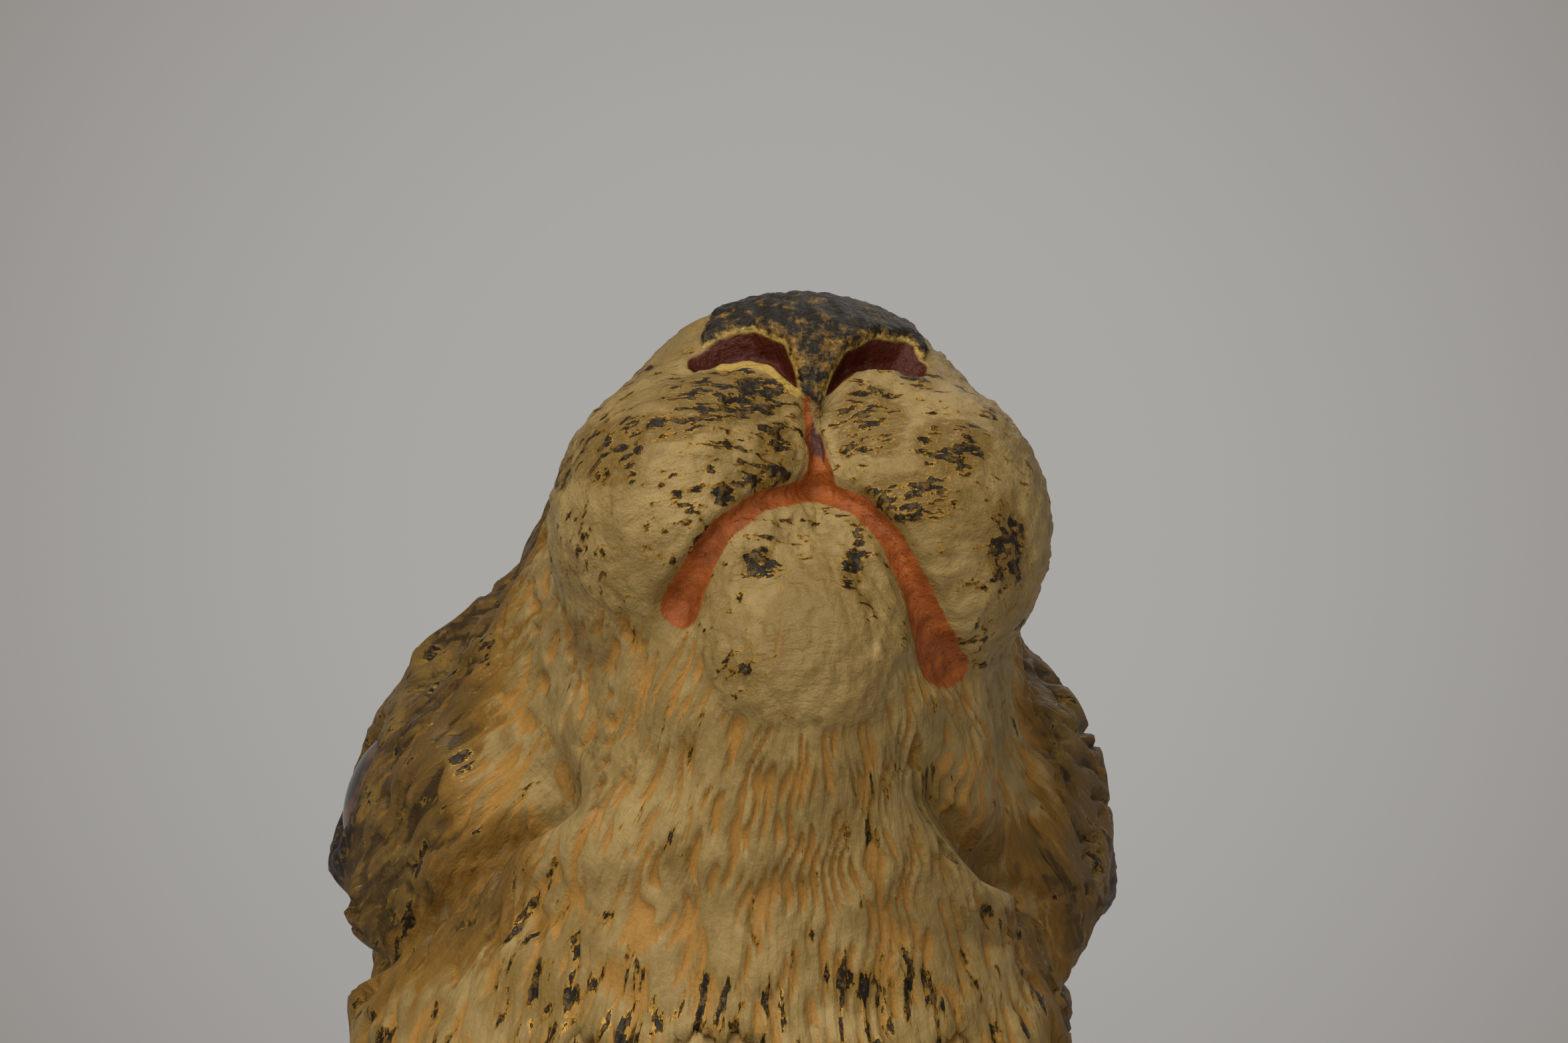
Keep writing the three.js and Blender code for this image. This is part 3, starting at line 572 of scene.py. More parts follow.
def cold_paint():
    """Thin paint over chased bronze: putty on the ridges of the hair and apricot in its grooves, ochre and
    brown over the back, rubbed through to gold and dark metal in strokes along the hair, or across the lips;
    black nose, oxblood nostrils and pink mouth where the attributes say."""
    n = Nodes(bpy.data.materials.new("cold_paint"))
    flow = n.attribute("flow", "Vector")
    face_place = n.attribute("face", "Vector")
    place = n.object_coordinates()
    hairless = n.attribute("hairless")
    cloud = n.grain(place, 170 * EVEN, 2.0)
    mottle = n.grain(place, 520 * EVEN, 4.0, 0.6)
    speck = n.grain(place, 2400 * EVEN, 4.0, 0.65)
    strand = n.grain(flow, (2.6, 2.6, 0.4), 3.0)
    lock = n.grain(flow, (0.6, 0.6, 0.12), 2.0)
    uneven = n.less(strand, 0.5)

    def speckled(value, amount):
        """A value with a rough edge: the specks, less their mean, times an amount are added to it."""
        return n.plus(value, n.times(n.less(speck, 0.5), amount))

    # Hair: grooves and ridges, on the pale underside and on the brown coat
    ridge = n.rise(n.plus(n.attribute("groove"), n.times(uneven, 0.8)), 0.35, 0.65)
    putty = n.colour(n.rise(n.plus(cloud, mottle), 0.85, 1.2), PUTTY, PALE_PUTTY)
    cream = n.colour(ridge, APRICOT, putty)
    mixed = n.plus(uneven, n.less(lock, 0.5))
    # On the head the brown attribute also carries painted shade on the chest's sides under the throat
    tone = n.plus(n.attribute("brown"), n.times(mixed, 0.9))
    paint = n.colour(n.rise(tone, 0.2, 0.45), cream, OCHRE)
    shade = n.plus(n.times(mixed, 2.2), n.times(ridge, 0.55))
    coat = n.colour(n.rise(shade, 0.05, 0.65), DARK_BROWN, OLIVE_BROWN)
    coat = n.colour(n.times(ridge, n.rise(strand, 0.55, 0.72)), coat, OCHRE)
    paint = n.colour(n.rise(tone, 0.4, 0.75), paint, coat)

    # Wear: strokes along the hair, or across the lip pads and chin, most where the patches are
    patch = n.grain(face_place, (0.19, 0.19, 0.26), 2.0)
    across = n.grain(face_place, (0.9, 1.1, 2.8), 5.0, 0.6)
    along = n.grain(flow, (2.3, 2.3, 0.42), 4.0, 0.6)
    fleck = n.number(hairless, along, across)
    sparse = n.number(hairless, n.grain(flow, (0.2, 0.2, 0.12), 2.0), patch)
    wear = n.attribute("wear")
    worn = speckled(n.plus(n.times(fleck, 0.7), n.times(sparse, 0.3)), 0.1)
    worn = n.less(n.plus(worn, n.times(wear, PATCH_WEAR)), WORN_THROUGH)
    halo = n.rise(worn, -0.035, -0.012)
    chip = n.rise(worn, 0.0, 0.014)
    paint = n.colour(n.times(n.rise(worn, -0.17, -0.07), n.rise(wear, 0.2, 0.8)), paint, KHAKI)
    paint = n.colour(halo, paint, GOLD)
    paint = n.colour(chip, paint, n.colour(n.rise(speck, 0.48, 0.64), BLACK_PATINA, OLIVE_BROWN))

    # Nose, nostrils and mouth: the nose is rubbed to gold most between the nostrils
    kept = n.rise(n.height(face_place), -5.0, -2.0)
    low_down = n.less(LOW_NOSE_WEAR, n.times(kept, LOW_NOSE_WEAR))
    rubbed = n.plus(n.grain(place, 1300 * EVEN, 6.0, 0.75), low_down)
    nose_paint = n.colour(n.rise(rubbed, 0.53, 0.61), BLACK_PATINA, OLIVE_BROWN)
    nose_paint = n.colour(n.rise(rubbed, 0.61, 0.71), nose_paint, GOLD)
    paint = n.colour(n.rise(n.attribute("black"), 0.0, 0.2), paint, nose_paint)
    paint = n.colour(n.rise(speckled(n.attribute("rim"), 0.9), 0.3, 0.6), paint, RIM_CREAM)
    paint = n.colour(n.rise(speckled(n.attribute("nostril"), 0.15), 0.0, 0.08), paint, OXBLOOD)
    pink = n.rise(speckled(n.attribute("lip"), 0.3), 0.0, 0.1)
    lip_paint = n.colour(n.rise(n.grain(place, 900 * EVEN, 3.0), 0.4, 0.66), LIP_PINK, LIP_SHADE)
    paint = n.colour(pink, paint, lip_paint)
    paint = n.colour(n.rise(n.attribute("seam"), 0.0, 0.1), paint, LIP_SEAM)

    # Gloss and relief
    bare = n.times(n.less(halo, chip), n.less(1.0, pink))
    satin = n.number(hairless, n.number(speck, 0.38, 0.58), n.number(speck, 0.28, 0.5))
    hairy = n.plus(n.times(strand, 0.8), n.times(speck, 0.35))
    pitted = n.plus(n.times(across, 0.8), n.times(speck, 0.5))
    n.bump(n.less(n.number(hairless, hairy, pitted), n.times(chip, 0.5)), PAINT_RELIEF)
    n.shader.inputs["Specular IOR Level"].default_value = PAINT_GLOSS
    return n.finish(paint, n.number(bare, satin, 0.36), n.number(bare, 0.0, 0.5))


def bare_bronze():
    """Bronze fixings, dulled in clouds and darker in spots."""
    n = Nodes(bpy.data.materials.new("dull_bronze"))
    place = n.object_coordinates()
    cloud = n.grain(place, 700 * EVEN, 4.0)
    speck = n.grain(place, 4000 * EVEN, 2.0)
    n.bump(speck, 0.03)
    colour = n.colour(n.rise(cloud, 0.35, 0.7), BARE_BRONZE, DARK_BROWN)
    return n.finish(colour, n.number(cloud, 0.3, 0.6), 1.0)


def eye_glaze():
    """A polished bead: brown iris with darker rays round a black pupil, by distance from its middle."""
    n = Nodes(bpy.data.materials.new("eye_glaze"))
    out = n.attribute("out")
    ray = n.grain(n.attribute("flow", "Vector"), (3.0, 3.0, 0.4), 3.0)
    iris = n.colour(n.rise(ray, 0.35, 0.65), IRIS_RAY, IRIS_BROWN)
    colour = n.colour(n.rise(out, 0.42, 0.5), PUPIL_BLACK, iris)
    colour = n.colour(n.rise(out, 0.74, 0.86), colour, IRIS_EDGE)
    return n.finish(colour, n.number(ray, 0.06, 0.12), 0.0)


paint = cold_paint()
bronze = bare_bronze()
glaze = eye_glaze()

# Face details, drawn on the stencil's card: sideways, up and half width, in mm
MOUTH = np.array([
    [-3.0, 9.3, 1.0], [-1.8, 11.5, 0.8], [-0.5, 13.5, 0.7], [1.7, 15.0, 0.6], [4.2, 15.6, 0.6],
    [6.4, 14.8, 0.6], [8.0, 13.2, 0.6], [9.5, 10.6, 0.7], [10.6, 8.1, 0.9], [11.4, 6.3, 1.1],
])
PHILTRUM = np.array([
    [3.8, 20.3, 0.2], [4.0, 19.0, 0.3], [4.3, 17.6, 0.4], [4.5, 16.5, 0.6], [4.4, 15.7, 0.7],
])
LIP_SPLIT = np.array([[4.2, 19.2, 0.1], [4.4, 18.0, 0.2], [4.5, 17.0, 0.1]])
NOSTRIL_RIGHT = np.array([
    [-2.0, 22.2, 0.5], [-0.6, 22.8, 0.7], [0.9, 23.1, 0.8],
    [2.1, 22.7, 0.7], [2.8, 21.8, 0.4], [3.3, 20.9, 0.1],
])
NOSTRIL_LEFT = np.array([
    [9.6, 21.9, 0.5], [8.7, 22.6, 0.8], [7.4, 22.7, 0.8],
    [6.2, 22.3, 0.6], [5.5, 21.5, 0.4], [4.8, 20.5, 0.1],
])
# Edges: sideways and up, or for the ruff up and sideways
NOSE_EDGE = np.array([
    [-1.6, 23.0], [-0.6, 22.8], [0.9, 23.2], [2.1, 22.7], [2.8, 21.7], [3.2, 20.9], [4.4, 19.7],
    [4.9, 20.7], [5.5, 21.6], [6.2, 22.3], [7.4, 22.8], [8.7, 22.7], [9.7, 22.0],
])
PAD_LOW = np.array([[-10.0, 10.5], [-4.0, 8.4], [12.0, 5.6], [16.0, 6.5]])
RUFF_RIGHT = np.array([[-13.5, -21.0], [-11.1, -19.9], [-8.1, -16.0], [-4.9, -12.7], [-0.8, -7.8]])
RUFF_LEFT = np.array([[-13.5, 17.3], [-10.7, 16.2], [-6.9, 15.4], [-5.3, 13.8], [-4.4, 12.2], [-0.8, 9.5]])
CHIN_MIDDLE = np.array([3.8, 8.9])
# Worn places: sideways, up, and half widths both ways
WORN = np.array([
    [-0.4, 20.4, 3.4, 1.5], [2.2, 18.2, 1.0, 1.0], [1.6, 16.4, 1.4, 0.8], [-6.5, 17.4, 2.0, 1.8],
    [-8.9, 16.6, 0.6, 1.2], [-0.2, 15.4, 1.0, 0.6], [-3.9, 18.8, 2.8, 0.8], [7.1, 19.0, 2.0, 2.0],
    [11.3, 17.8, 2.2, 1.6], [9.3, 15.2, 2.6, 1.4], [14.1, 12.9, 1.1, 2.2], [1.2, 11.9, 0.9, 0.7],
    [6.1, 11.3, 0.7, 1.2], [6.7, 9.7, 0.6, 0.8], [0.6, 6.2, 1.8, 1.1], [4.4, 3.4, 0.4, 0.5],
    [-2.7, -2.5, 1.0, 1.0], [6.9, -1.4, 0.4, 1.0], [0.8, -6.3, 0.4, 1.2], [-12.4, 7.3, 0.6, 1.2],
    [-9.9, -10.6, 2.4, 1.6], [12.7, -6.9, 1.6, 1.4], [6.3, -10.6, 1.6, 1.6], [11.1, -0.4, 1.0, 1.6],
    [-18.0, 4.4, 1.2, 2.0], [-19.2, -0.5, 1.0, 2.0], [-17.2, -3.7, 1.6, 1.2], [19.2, -3.7, 0.8, 2.4],
    [-19.5, -6.5, 0.8, 2.4], [-15.5, 6.6, 1.2, 1.2], [-14.0, 1.6, 0.9, 0.9], [17.0, 3.0, 0.8, 1.8],
])
CHEST_OFF_CENTRE = 4.0


def pale_front(points):
    """How pale the chest is: 1 in front, 0 round the sides and back, further round on the right."""
    return smooth(-14, -30, points[..., 1]) * smooth(26, 12, np.abs(points[..., 0] + CHEST_OFF_CENTRE))


def inside_stroke(marks, stroke):
    """How far a mark is inside a stroke: the half width along its line, less the distance from that line."""
    deepest = np.full(marks.shape[:-1], -np.inf)
    for start, end in zip(stroke[:-1], stroke[1:]):
        run = end[:2] - start[:2]
        share = np.clip(((marks - start[:2]) @ run) / (run @ run), 0, 1)
        middle = start[:2] + share[..., None] * run
        half_width = start[2] + (end[2] - start[2]) * share
        deepest = np.maximum(deepest, half_width - length(marks - middle))
    return deepest


# Eyes
EYE_OUT = unit(np.array([0.94, -0.27, 0.2]))
EYE_RADIUS = 3.7
EYE_DOME = 2.2
EYE_SUNK = 2.0
EYE_SEAT_DEPTH = 2.7
EYE_LONG = 1.12
EYE_LOW = 0.94
LID = 0.8
LID_LEVEL = 0.7
eye_skin = crossing(face, np.array([EYE_MOUND[0]], float), EYE_OUT[None])[0]
EYE_SEAT = np.array(EYE_MOUND[0]) + (eye_skin - EYE_SUNK) * EYE_OUT
EYE_BACK = unit(np.cross(np.array([0.0, 0.0, 1.0]), EYE_OUT))
EYE_UP = np.cross(EYE_OUT, EYE_BACK)


def by_eye(points):
    """Distance from the eye's axis, in an almond longer from front to back, and height over its seat."""
    offset = points - EYE_SEAT
    return np.hypot((offset @ EYE_BACK) / EYE_LONG, (offset @ EYE_UP) / EYE_LOW), offset @ EYE_OUT


def eyelid(points):
    """Distance to a rolled lid, which is a ring round the eye."""
    from_eye, level = by_eye(points)
    return np.hypot(from_eye - EYE_RADIUS - 0.5 * LID, level - LID_LEVEL) - LID


lidded_face = blended(1.4, face, paired(eyelid))
lidded_skin = blended(NECK_BLEND, torso, lambda points: lidded_face(to_head(points)))

# Head: its rings start at the lips, so that the columns run over the pads, chin and throat as hair does
HEAD_CORE = [[0, -15, -4.5], [0, -4, -2.5], [0, 9, 0]]
HEAD_AROUND = 400
HEAD_ROWS = (100, 85, 55)
SKIRT = 2.6
SKIRT_PROUD = 0.4
TUFT = 2.4
TUFT_SCALE = np.array([0.42, 0.42, 0.1])


def head_skin(points):
    """The head's skin, a little proud near the neck joint and cut off in tuft tips under it."""
    height = over_joint(points)
    tuft = ripple(points * TUFT_SCALE, 71)
    proud = SKIRT_PROUD * smooth(4.0, 0.0, height)
    return np.maximum(lidded_skin(points) - proud, -height - SKIRT - TUFT * tuft)


head_angles = angles_round(HEAD_AROUND, 0.5)
head_rings = sculpt(lambda points: head_skin(to_figure(points)), HEAD_CORE, head_angles, *HEAD_ROWS)
head_flow = flow_of(head_rings, head_angles, 14.0)
head_normals = normals_of(head_rings)
head_figure = to_figure(head_rings)
folded = fold(head_rings)
head_x, head_y, head_z = np.moveaxis(folded, -1, 0)
marks = stencil(head_figure)
mark_x, mark_y = np.moveaxis(marks, -1, 0)

# Masks: how far each point is inside what is painted or cut there, or a share from 0 to 1
OUT_OF_REACH = 9.0
turned_away = smooth(-0.05, 0.1, head_normals @ HEAD_TURN.T @ VIEW_FORWARD)
behind = OUT_OF_REACH * np.maximum(smooth(-19, -14, head_y), turned_away)
pad_low = np.interp(mark_x, *PAD_LOW.T)
pad_reach = length((folded - np.array(PAD[0])) / np.array(PAD[1]))
pad = smooth(1.45, 1.1, pad_reach) * smooth(-12, -16, head_y)
pad *= smooth(-0.9, 0.9, mark_y - pad_low)
from_chin = length(marks - CHIN_MIDDLE) + behind + 0.7 * ripple(head_rings * 0.35, 29)
chin = smooth(7.0, 5.2, from_chin)
near_eye = smooth(7.2, 5.4, length(folded - EYE_SEAT))
from_eye, eye_level = by_eye(folded)
socket = smooth(3.5, 3.1, from_eye) * smooth(-1.5, -0.5, eye_level)
eye_rim = 0.5 - np.abs(eyelid(folded))
nose_edge = np.interp(mark_x, *NOSE_EDGE.T)
nose_sides = np.minimum(mark_x + 2.1, 10.1 - mark_x) - 0.5 * np.maximum(mark_y - 22.6, 0)
nose_back = -23.5 - head_y + 0.6 * ripple(head_rings * 0.5, 5)
nose = np.minimum(np.minimum(mark_y - nose_edge + OUT_OF_REACH * turned_away, nose_sides), nose_back)
nostril_right = inside_stroke(marks, NOSTRIL_RIGHT) - behind
nostril = np.maximum(inside_stroke(marks, NOSTRIL_LEFT) - behind, nostril_right)
rim = smooth(-0.5, -0.3, nostril_right) * smooth(0.1, -0.1, nose) * smooth(-1.4, -0.2, mark_x)
rim = np.maximum(rim, 0.5 * smooth(-0.2, -0.08, nostril) * smooth(-0.2, 0.0, nose))
mouth = inside_stroke(marks, MOUTH) - behind
philtrum = inside_stroke(marks, PHILTRUM) - behind
split = inside_stroke(marks, LIP_SPLIT) - behind
lip = np.maximum(mouth, philtrum)
wear = np.zeros(head_x.shape)
for worn_x, worn_y, half_width, half_height in WORN:
    reach = np.hypot((mark_x - worn_x) / half_width, (mark_y - worn_y) / half_height)
    wear = np.maximum(wear, smooth(1.5, 0.5, reach + smooth(-2.0, 4.0, head_y)))
wear = np.maximum(wear * (0.6 + 0.4 * pad), 0.3 * pad)
wear = np.maximum(wear, 0.32 * np.maximum(smooth(-5.0, -10.0, mark_y), smooth(14.0, 18.0, head_x)))
head_groove = combed(head_flow, head_rings, 11)
ruff_right = mark_x - np.interp(mark_y, *RUFF_RIGHT.T)
ruff_left = np.interp(mark_y, *RUFF_LEFT.T) - mark_x
ruff = np.minimum(ruff_right, ruff_left) - OUT_OF_REACH * smooth(8.0, 13.0, head_y)
ruff = ruff + 0.8 * (head_groove - MEAN_GROOVE)
under_throat = smooth(1.5, -3.5, mark_y)
valley = smooth(4.0, -1.0, mark_y) * np.exp(-(((ruff + 1.5) / 1.5) ** 2))
ruff = np.where(under_throat > 0, ruff * under_throat, 0.0)
on_ruff = under_throat * smooth(-0.2, 0.6, ruff)
painted = smooth(-0.6, 0.6, np.maximum(nose, np.maximum(nostril, lip)))
furry = (1 - np.maximum(np.maximum(pad, chin), painted)) * (1 - near_eye)

# Brown coat: head sides and top, neck behind the ruff, joint as on the body; chest sides partly painted shade
brown_side = smooth(11.5, 19.0, head_x + 0.4 * (head_z + 8)) * smooth(-22, -10, head_y)
brown_top = smooth(-4, 3, head_z) * smooth(-34, -22, head_y)
head_brown_and_shade = np.maximum(brown_side, brown_top) * (1 - on_ruff)
# Browner sides of the chest under the throat: partly brown coat, partly painted shade where they turn from
# the light
head_brown_and_shade = np.maximum(head_brown_and_shade, 0.68 * smooth(8.0, 13.5, head_x) * under_throat)
head_brown_and_shade = np.maximum(head_brown_and_shade + valley * (0.36 - head_brown_and_shade), smooth(8.0, 14.0, head_y))
at_neck = smooth(112.0, 106.0, head_figure[..., 2])
head_brown_and_shade = head_brown_and_shade + at_neck * (1 - pale_front(head_figure) - head_brown_and_shade)

# Relief of the head, in mm
HAIR_DEPTH = 0.32
SIDE_HAIR_DEPTH = 0.25
LOCK_DEPTH = 0.35
PIT_DEPTH = 0.13
PAD_FOLD = 0.14
RUFF_RAISED = 1.1
SIDE_FOLD = 1.2
CHIN_FURROW = 0.4
VALLEY_DEPTH = 1.7
MOUTH_DEPTH = 0.85
PHILTRUM_DEPTH = 0.35
SPLIT_DEPTH = 0.2
NOSTRIL_DEPTH = 1.3
NOSE_RAISED = 0.3
SOCKET_DEPTH = 1.2
locks = ripple(head_rings * 0.28, 21)
pits = ripple(head_rings * 1.3, 31) + 0.6 * ripple(head_rings * 2.6, 35)
folds = ripple(head_rings * np.array([0.4, 0.5, 1.3]), 33)
height = over_joint(head_figure)
relief = (HAIR_DEPTH + SIDE_HAIR_DEPTH * brown_side) * furry * (head_groove - MEAN_GROOVE)
relief += LOCK_DEPTH * furry * locks
relief += (1 - furry) * (PIT_DEPTH * pits + PAD_FOLD * pad * folds)
relief += RUFF_RAISED * on_ruff * smooth(-SKIRT, 3.0, height)
relief += SIDE_FOLD * brown_side * furry * ripple(head_rings * 0.16, 37)
relief -= CHIN_FURROW * np.exp(-(((from_chin - 6.6) / 1.2) ** 2)) * smooth(9.0, 6.0, mark_y)
relief -= VALLEY_DEPTH * valley
relief -= MOUTH_DEPTH * smooth(-0.6, 0.8, mouth)
relief -= PHILTRUM_DEPTH * smooth(-0.5, 0.6, philtrum)
relief -= SPLIT_DEPTH * smooth(-0.2, 0.2, split)
relief -= NOSTRIL_DEPTH * smooth(-0.1, 0.6, nostril)
relief += NOSE_RAISED * smooth(-0.1, 0.3, nose) * smooth(0.0, -0.3, nostril)
relief -= SOCKET_DEPTH * socket
relief *= smooth(-SKIRT - 4, -SKIRT, height)
head_rings = head_rings + relief[..., None] * head_normals
make_piece(
    "painted_head", to_figure(head_rings), ["head_casting"], "cream_paint", paint,
    flow=head_flow, groove=np.where(furry > 0.5, head_groove, 1.0), face=head_rings, brown=head_brown_and_shade,
    wear=wear, hairless=1 - furry, black=np.maximum(nose, eye_rim), nostril=nostril, rim=rim, lip=lip,
    seam=split,
)

# Eye beads: a dome turned round the eye's axis, with a flat back out of sight
BEAD_ROWS = 40
BEAD_AROUND = 72


def eye_bead(side):
    """Rings of a bead: radius times cos and dome times sin of a rising angle, after a flat back."""
    rise = np.linspace(0, QUARTER, BEAD_ROWS)
    radii = np.concatenate([[0, EYE_RADIUS], EYE_RADIUS * np.cos(rise)])[:, None, None]
    levels = np.concatenate([[-EYE_SEAT_DEPTH] * 2, EYE_DOME * np.sin(rise)])[:, None, None]
    angles = angles_round(BEAD_AROUND, 0.0)[None, :, None]
    ring = np.cos(angles) * EYE_BACK + np.sin(angles) * EYE_UP
    points = EYE_SEAT + radii * ring + levels * EYE_OUT
    out = radii / EYE_RADIUS
    flow = np.concatenate(np.broadcast_arrays(np.cos(angles), np.sin(angles), out), -1)
    return points * np.array([side, 1, 1]), flow[..., 2], flow


for side_name, side in SIDES:
    bead, bead_out, bead_flow = eye_bead(side)
    make_piece(f"{side_name}_eye_bead", to_figure(bead), [f"{side_name}_eye"], "dark_eye", glaze,
               out=bead_out, flow=bead_flow)

# Ears: a leaf-shaped cup along a curve
EAR_POINTS = [[8.5, 12, 12], [8.6, 26, 15.5], [7.8, 47, 11.5], [7, 69, 0.5]]
EAR_HALF_WIDTHS = [4.6, 7.8, 9.4, 9.2, 7.2]
EAR_CURLS = [2.3, 1.75, 1.25, 1, 0.8]
EAR_OPENING = np.array([0.93, 0, 0.36])
EAR_WALL = 3.0
EAR_ROUND_TIP = 0.26
EAR_ROWS = 150
EAR_ACROSS = 64
EAR_LENGTH = 66.0
EAR_HAIR_DEPTH = 0.22


def smooth_between(values, shares):
    """Values at even shares, joined by smooth steps."""
    values = np.array(values, float)
    place = shares * (len(values) - 1)
    lower = np.minimum(place.astype(int), len(values) - 2)
    between = smooth(0, 1, place - lower)
    return values[lower] + between * (values[lower + 1] - values[lower])


def ear_leaf(side):
    """Rings of an ear: crescents whose radius is half width over curl, out along the back and home along
    the inside, with the rim thinned by the fourth power of the place across and the root filled in."""
    shares = 1 - (1 - np.linspace(0, 1, EAR_ROWS)) ** 1.4
    middles = curve(EAR_POINTS, shares)[:, None]
    tangents = heading(EAR_POINTS, shares)
    opening = unit(EAR_OPENING - tangents * (tangents @ EAR_OPENING)[:, None])
    across = np.cross(tangents, opening)[:, None]
    opening = opening[:, None]
    near_tip = np.maximum(0, shares - 1 + EAR_ROUND_TIP) / EAR_ROUND_TIP
    half_width = (smooth_between(EAR_HALF_WIDTHS, shares) * np.sqrt(1.004 - near_tip**2))[:, None]
    curl = smooth_between(EAR_CURLS, shares)[:, None]
    radius = half_width / curl
    wall = np.minimum(EAR_WALL, half_width)
    filled = 0.9 * (1 - smooth(0, 0.3, shares))[:, None]
    inward = wall / 2 + (radius - wall / 2) * filled
    turn = np.linspace(-1, 1, EAR_ACROSS)
    place = np.concatenate([turn, turn[::-1]])[None]
    outside = np.concatenate([np.ones(EAR_ACROSS), np.zeros(EAR_ACROSS)])[None]
    thinning = np.sqrt(1 - 0.85 * place**4)
    offset = np.where(outside > 0, wall / 2, -inward) * thinning
    run = shares[:, None]
    hair_place = np.stack(np.broadcast_arrays(place * half_width * 1.1, 9.0 * outside, run * 22.0), -1)
    hair = ripple(hair_place, 41)
    offset = offset + EAR_HAIR_DEPTH * hair * smooth(0, 0.06, 1 - np.abs(place)) * (2 * outside - 1)
    reach = radius + offset
    points = middles + (reach * np.sin(place * curl))[..., None] * across
    points = points + (radius - reach * np.cos(place * curl))[..., None] * opening
    flow = np.stack(np.broadcast_arrays(place * half_width, 30.0 * outside, run * EAR_LENGTH), -1)
    brown = np.broadcast_to(0.45 + 0.5 * outside, flow.shape[:2])
    return points * np.array([side, 1, 1]), flow, brown, smooth(-0.3, 0.25, hair)


for side_name, side in SIDES:
    leaf, leaf_flow, leaf_brown, leaf_groove = ear_leaf(side)
    make_piece(f"{side_name}_ear_leaf", to_figure(leaf), [f"{side_name}_ear"], "brown_paint", paint,
               flow=leaf_flow, brown=leaf_brown, groove=leaf_groove)

# Body: the first rings line its hollow base, and ring planes lean forward over the back, level at the neck
BODY_MIDDLES = [[0, 30, 14], [0, 29, 32], [0, 19, 46], [0, 3, 58], [0, -17, 78], [0, -23, 98]]
BODY_LEANS = [0.0, 12.0, 26.0, 34.0, 22.0, 0.0]
BODY_AROUND = 300
BASE_ROWS = 24
SIDE_ROWS = 190
NECK_ROWS = 20
BASE_TILT = np.radians(40)
BASE_HALF_WIDTH = wide(0.178)
BASE_HALF_LENGTH = 16.0
BASE_WALL = 12.0
BASE_DOME = 26
DOME_ROWS = 22
WALL_ROWS = 12
body_angles = angles_round(BODY_AROUND, 0.25)


def body_skin(points):
    """The body's skin, cut level under its rim and just under the neck joint."""
    return np.maximum(standing(skin)(points), over_joint(points) + SEAT_GAP)


def body_rings():
    """Rings of the body: the ceiling and oval wall of its hollow base, then rays in leaning planes."""
    shares = np.linspace(0, 1, SIDE_ROWS)
    middles = np.pad(curve(BODY_MIDDLES, shares), ((BASE_ROWS, NECK_ROWS), (0, 0)), "edge")
    leans = np.radians(np.interp(shares, np.linspace(0, 1, len(BODY_LEANS)), BODY_LEANS))
    leans = np.pad(leans, (BASE_ROWS, NECK_ROWS), "edge")
    spread = np.linspace(-BASE_TILT, 0, BASE_ROWS, endpoint=False)
    closing = np.linspace(QUARTER, 0, NECK_ROWS, endpoint=False)[::-1]
    tilts = np.concatenate([spread, np.zeros(SIDE_ROWS), closing])[:, None, None]
    upward = np.stack([0 * leans, -np.sin(leans), np.cos(leans)], -1)[:, None]
    backward = np.stack([0 * leans, np.cos(leans), np.sin(leans)], -1)[:, None]
    angles = body_angles[None, :, None]
    ring = np.cos(angles) * np.array([1.0, 0, 0]) + np.sin(angles) * backward
    directions = np.cos(tilts) * ring + np.sin(tilts) * upward
    outer = reached(body_skin, middles, directions)
    dome = np.linspace(0, QUARTER, DOME_ROWS)
    spans = np.concatenate([np.sin(dome), np.ones(WALL_ROWS - 1)])[:, None]
    wall = np.linspace(BASE_WALL, 0, WALL_ROWS)[1:]
    levels = np.concatenate([BASE_WALL + BASE_DOME * np.cos(dome), wall])[:, None]
    oval_x = BASE_HALF_WIDTH * spans * np.cos(body_angles)
    oval_y = RUMP_AT[1] + BASE_HALF_LENGTH * spans * np.sin(body_angles)
    lining = np.stack(np.broadcast_arrays(oval_x, oval_y, levels), -1)
    return np.concatenate([lining, outer]), len(lining)


rings, lined = body_rings()
flow = flow_of(rings, body_angles, 24.0)
groove = combed(flow, rings, 51)
normals = normals_of(rings)
hairy = smooth(0.3, 4.0, rings[..., 2])
hairy[:lined] = 0
hairy *= smooth(-SEAT_GAP - 0.05, -SEAT_GAP - 2.0, over_joint(rings))
relief = hairy * (0.6 * (groove - MEAN_GROOVE) + 0.5 * ripple(rings * 0.16, 55))
rings = rings + relief[..., None] * normals
brown = (1 - pale_front(rings)) * smooth(2, 20, rings[..., 2])
make_piece("painted_body", rings, ["body_casting"], "brown_paint", paint,
           flow=flow, groove=groove, brown=brown)

# Limbs
LIMB_AROUND = 140


def make_limb(name, node, slot, field, core, rows, radius, seed, depth, brown, around=LIMB_AROUND):
    """A limb's skin in rings round its core, with chased hair cut in, level where it rests on the ground.
    The brown is given as its most and the heights between which it comes in."""
    angles = angles_round(around, 0.0)
    rings = sculpt(field, core, angles, *rows)
    flow = flow_of(rings, angles, radius)
    groove = combed(flow, rings, seed)
    relief = depth * smooth(0.2, 2.5, rings[..., 2]) * (groove - MEAN_GROOVE)
    rings = rings + relief[..., None] * normals_of(rings)
    most, low, top = brown
    return make_piece(name, rings, [node], slot, paint,
                      flow=flow, groove=groove, brown=most * smooth(low, top, rings[..., 2]))


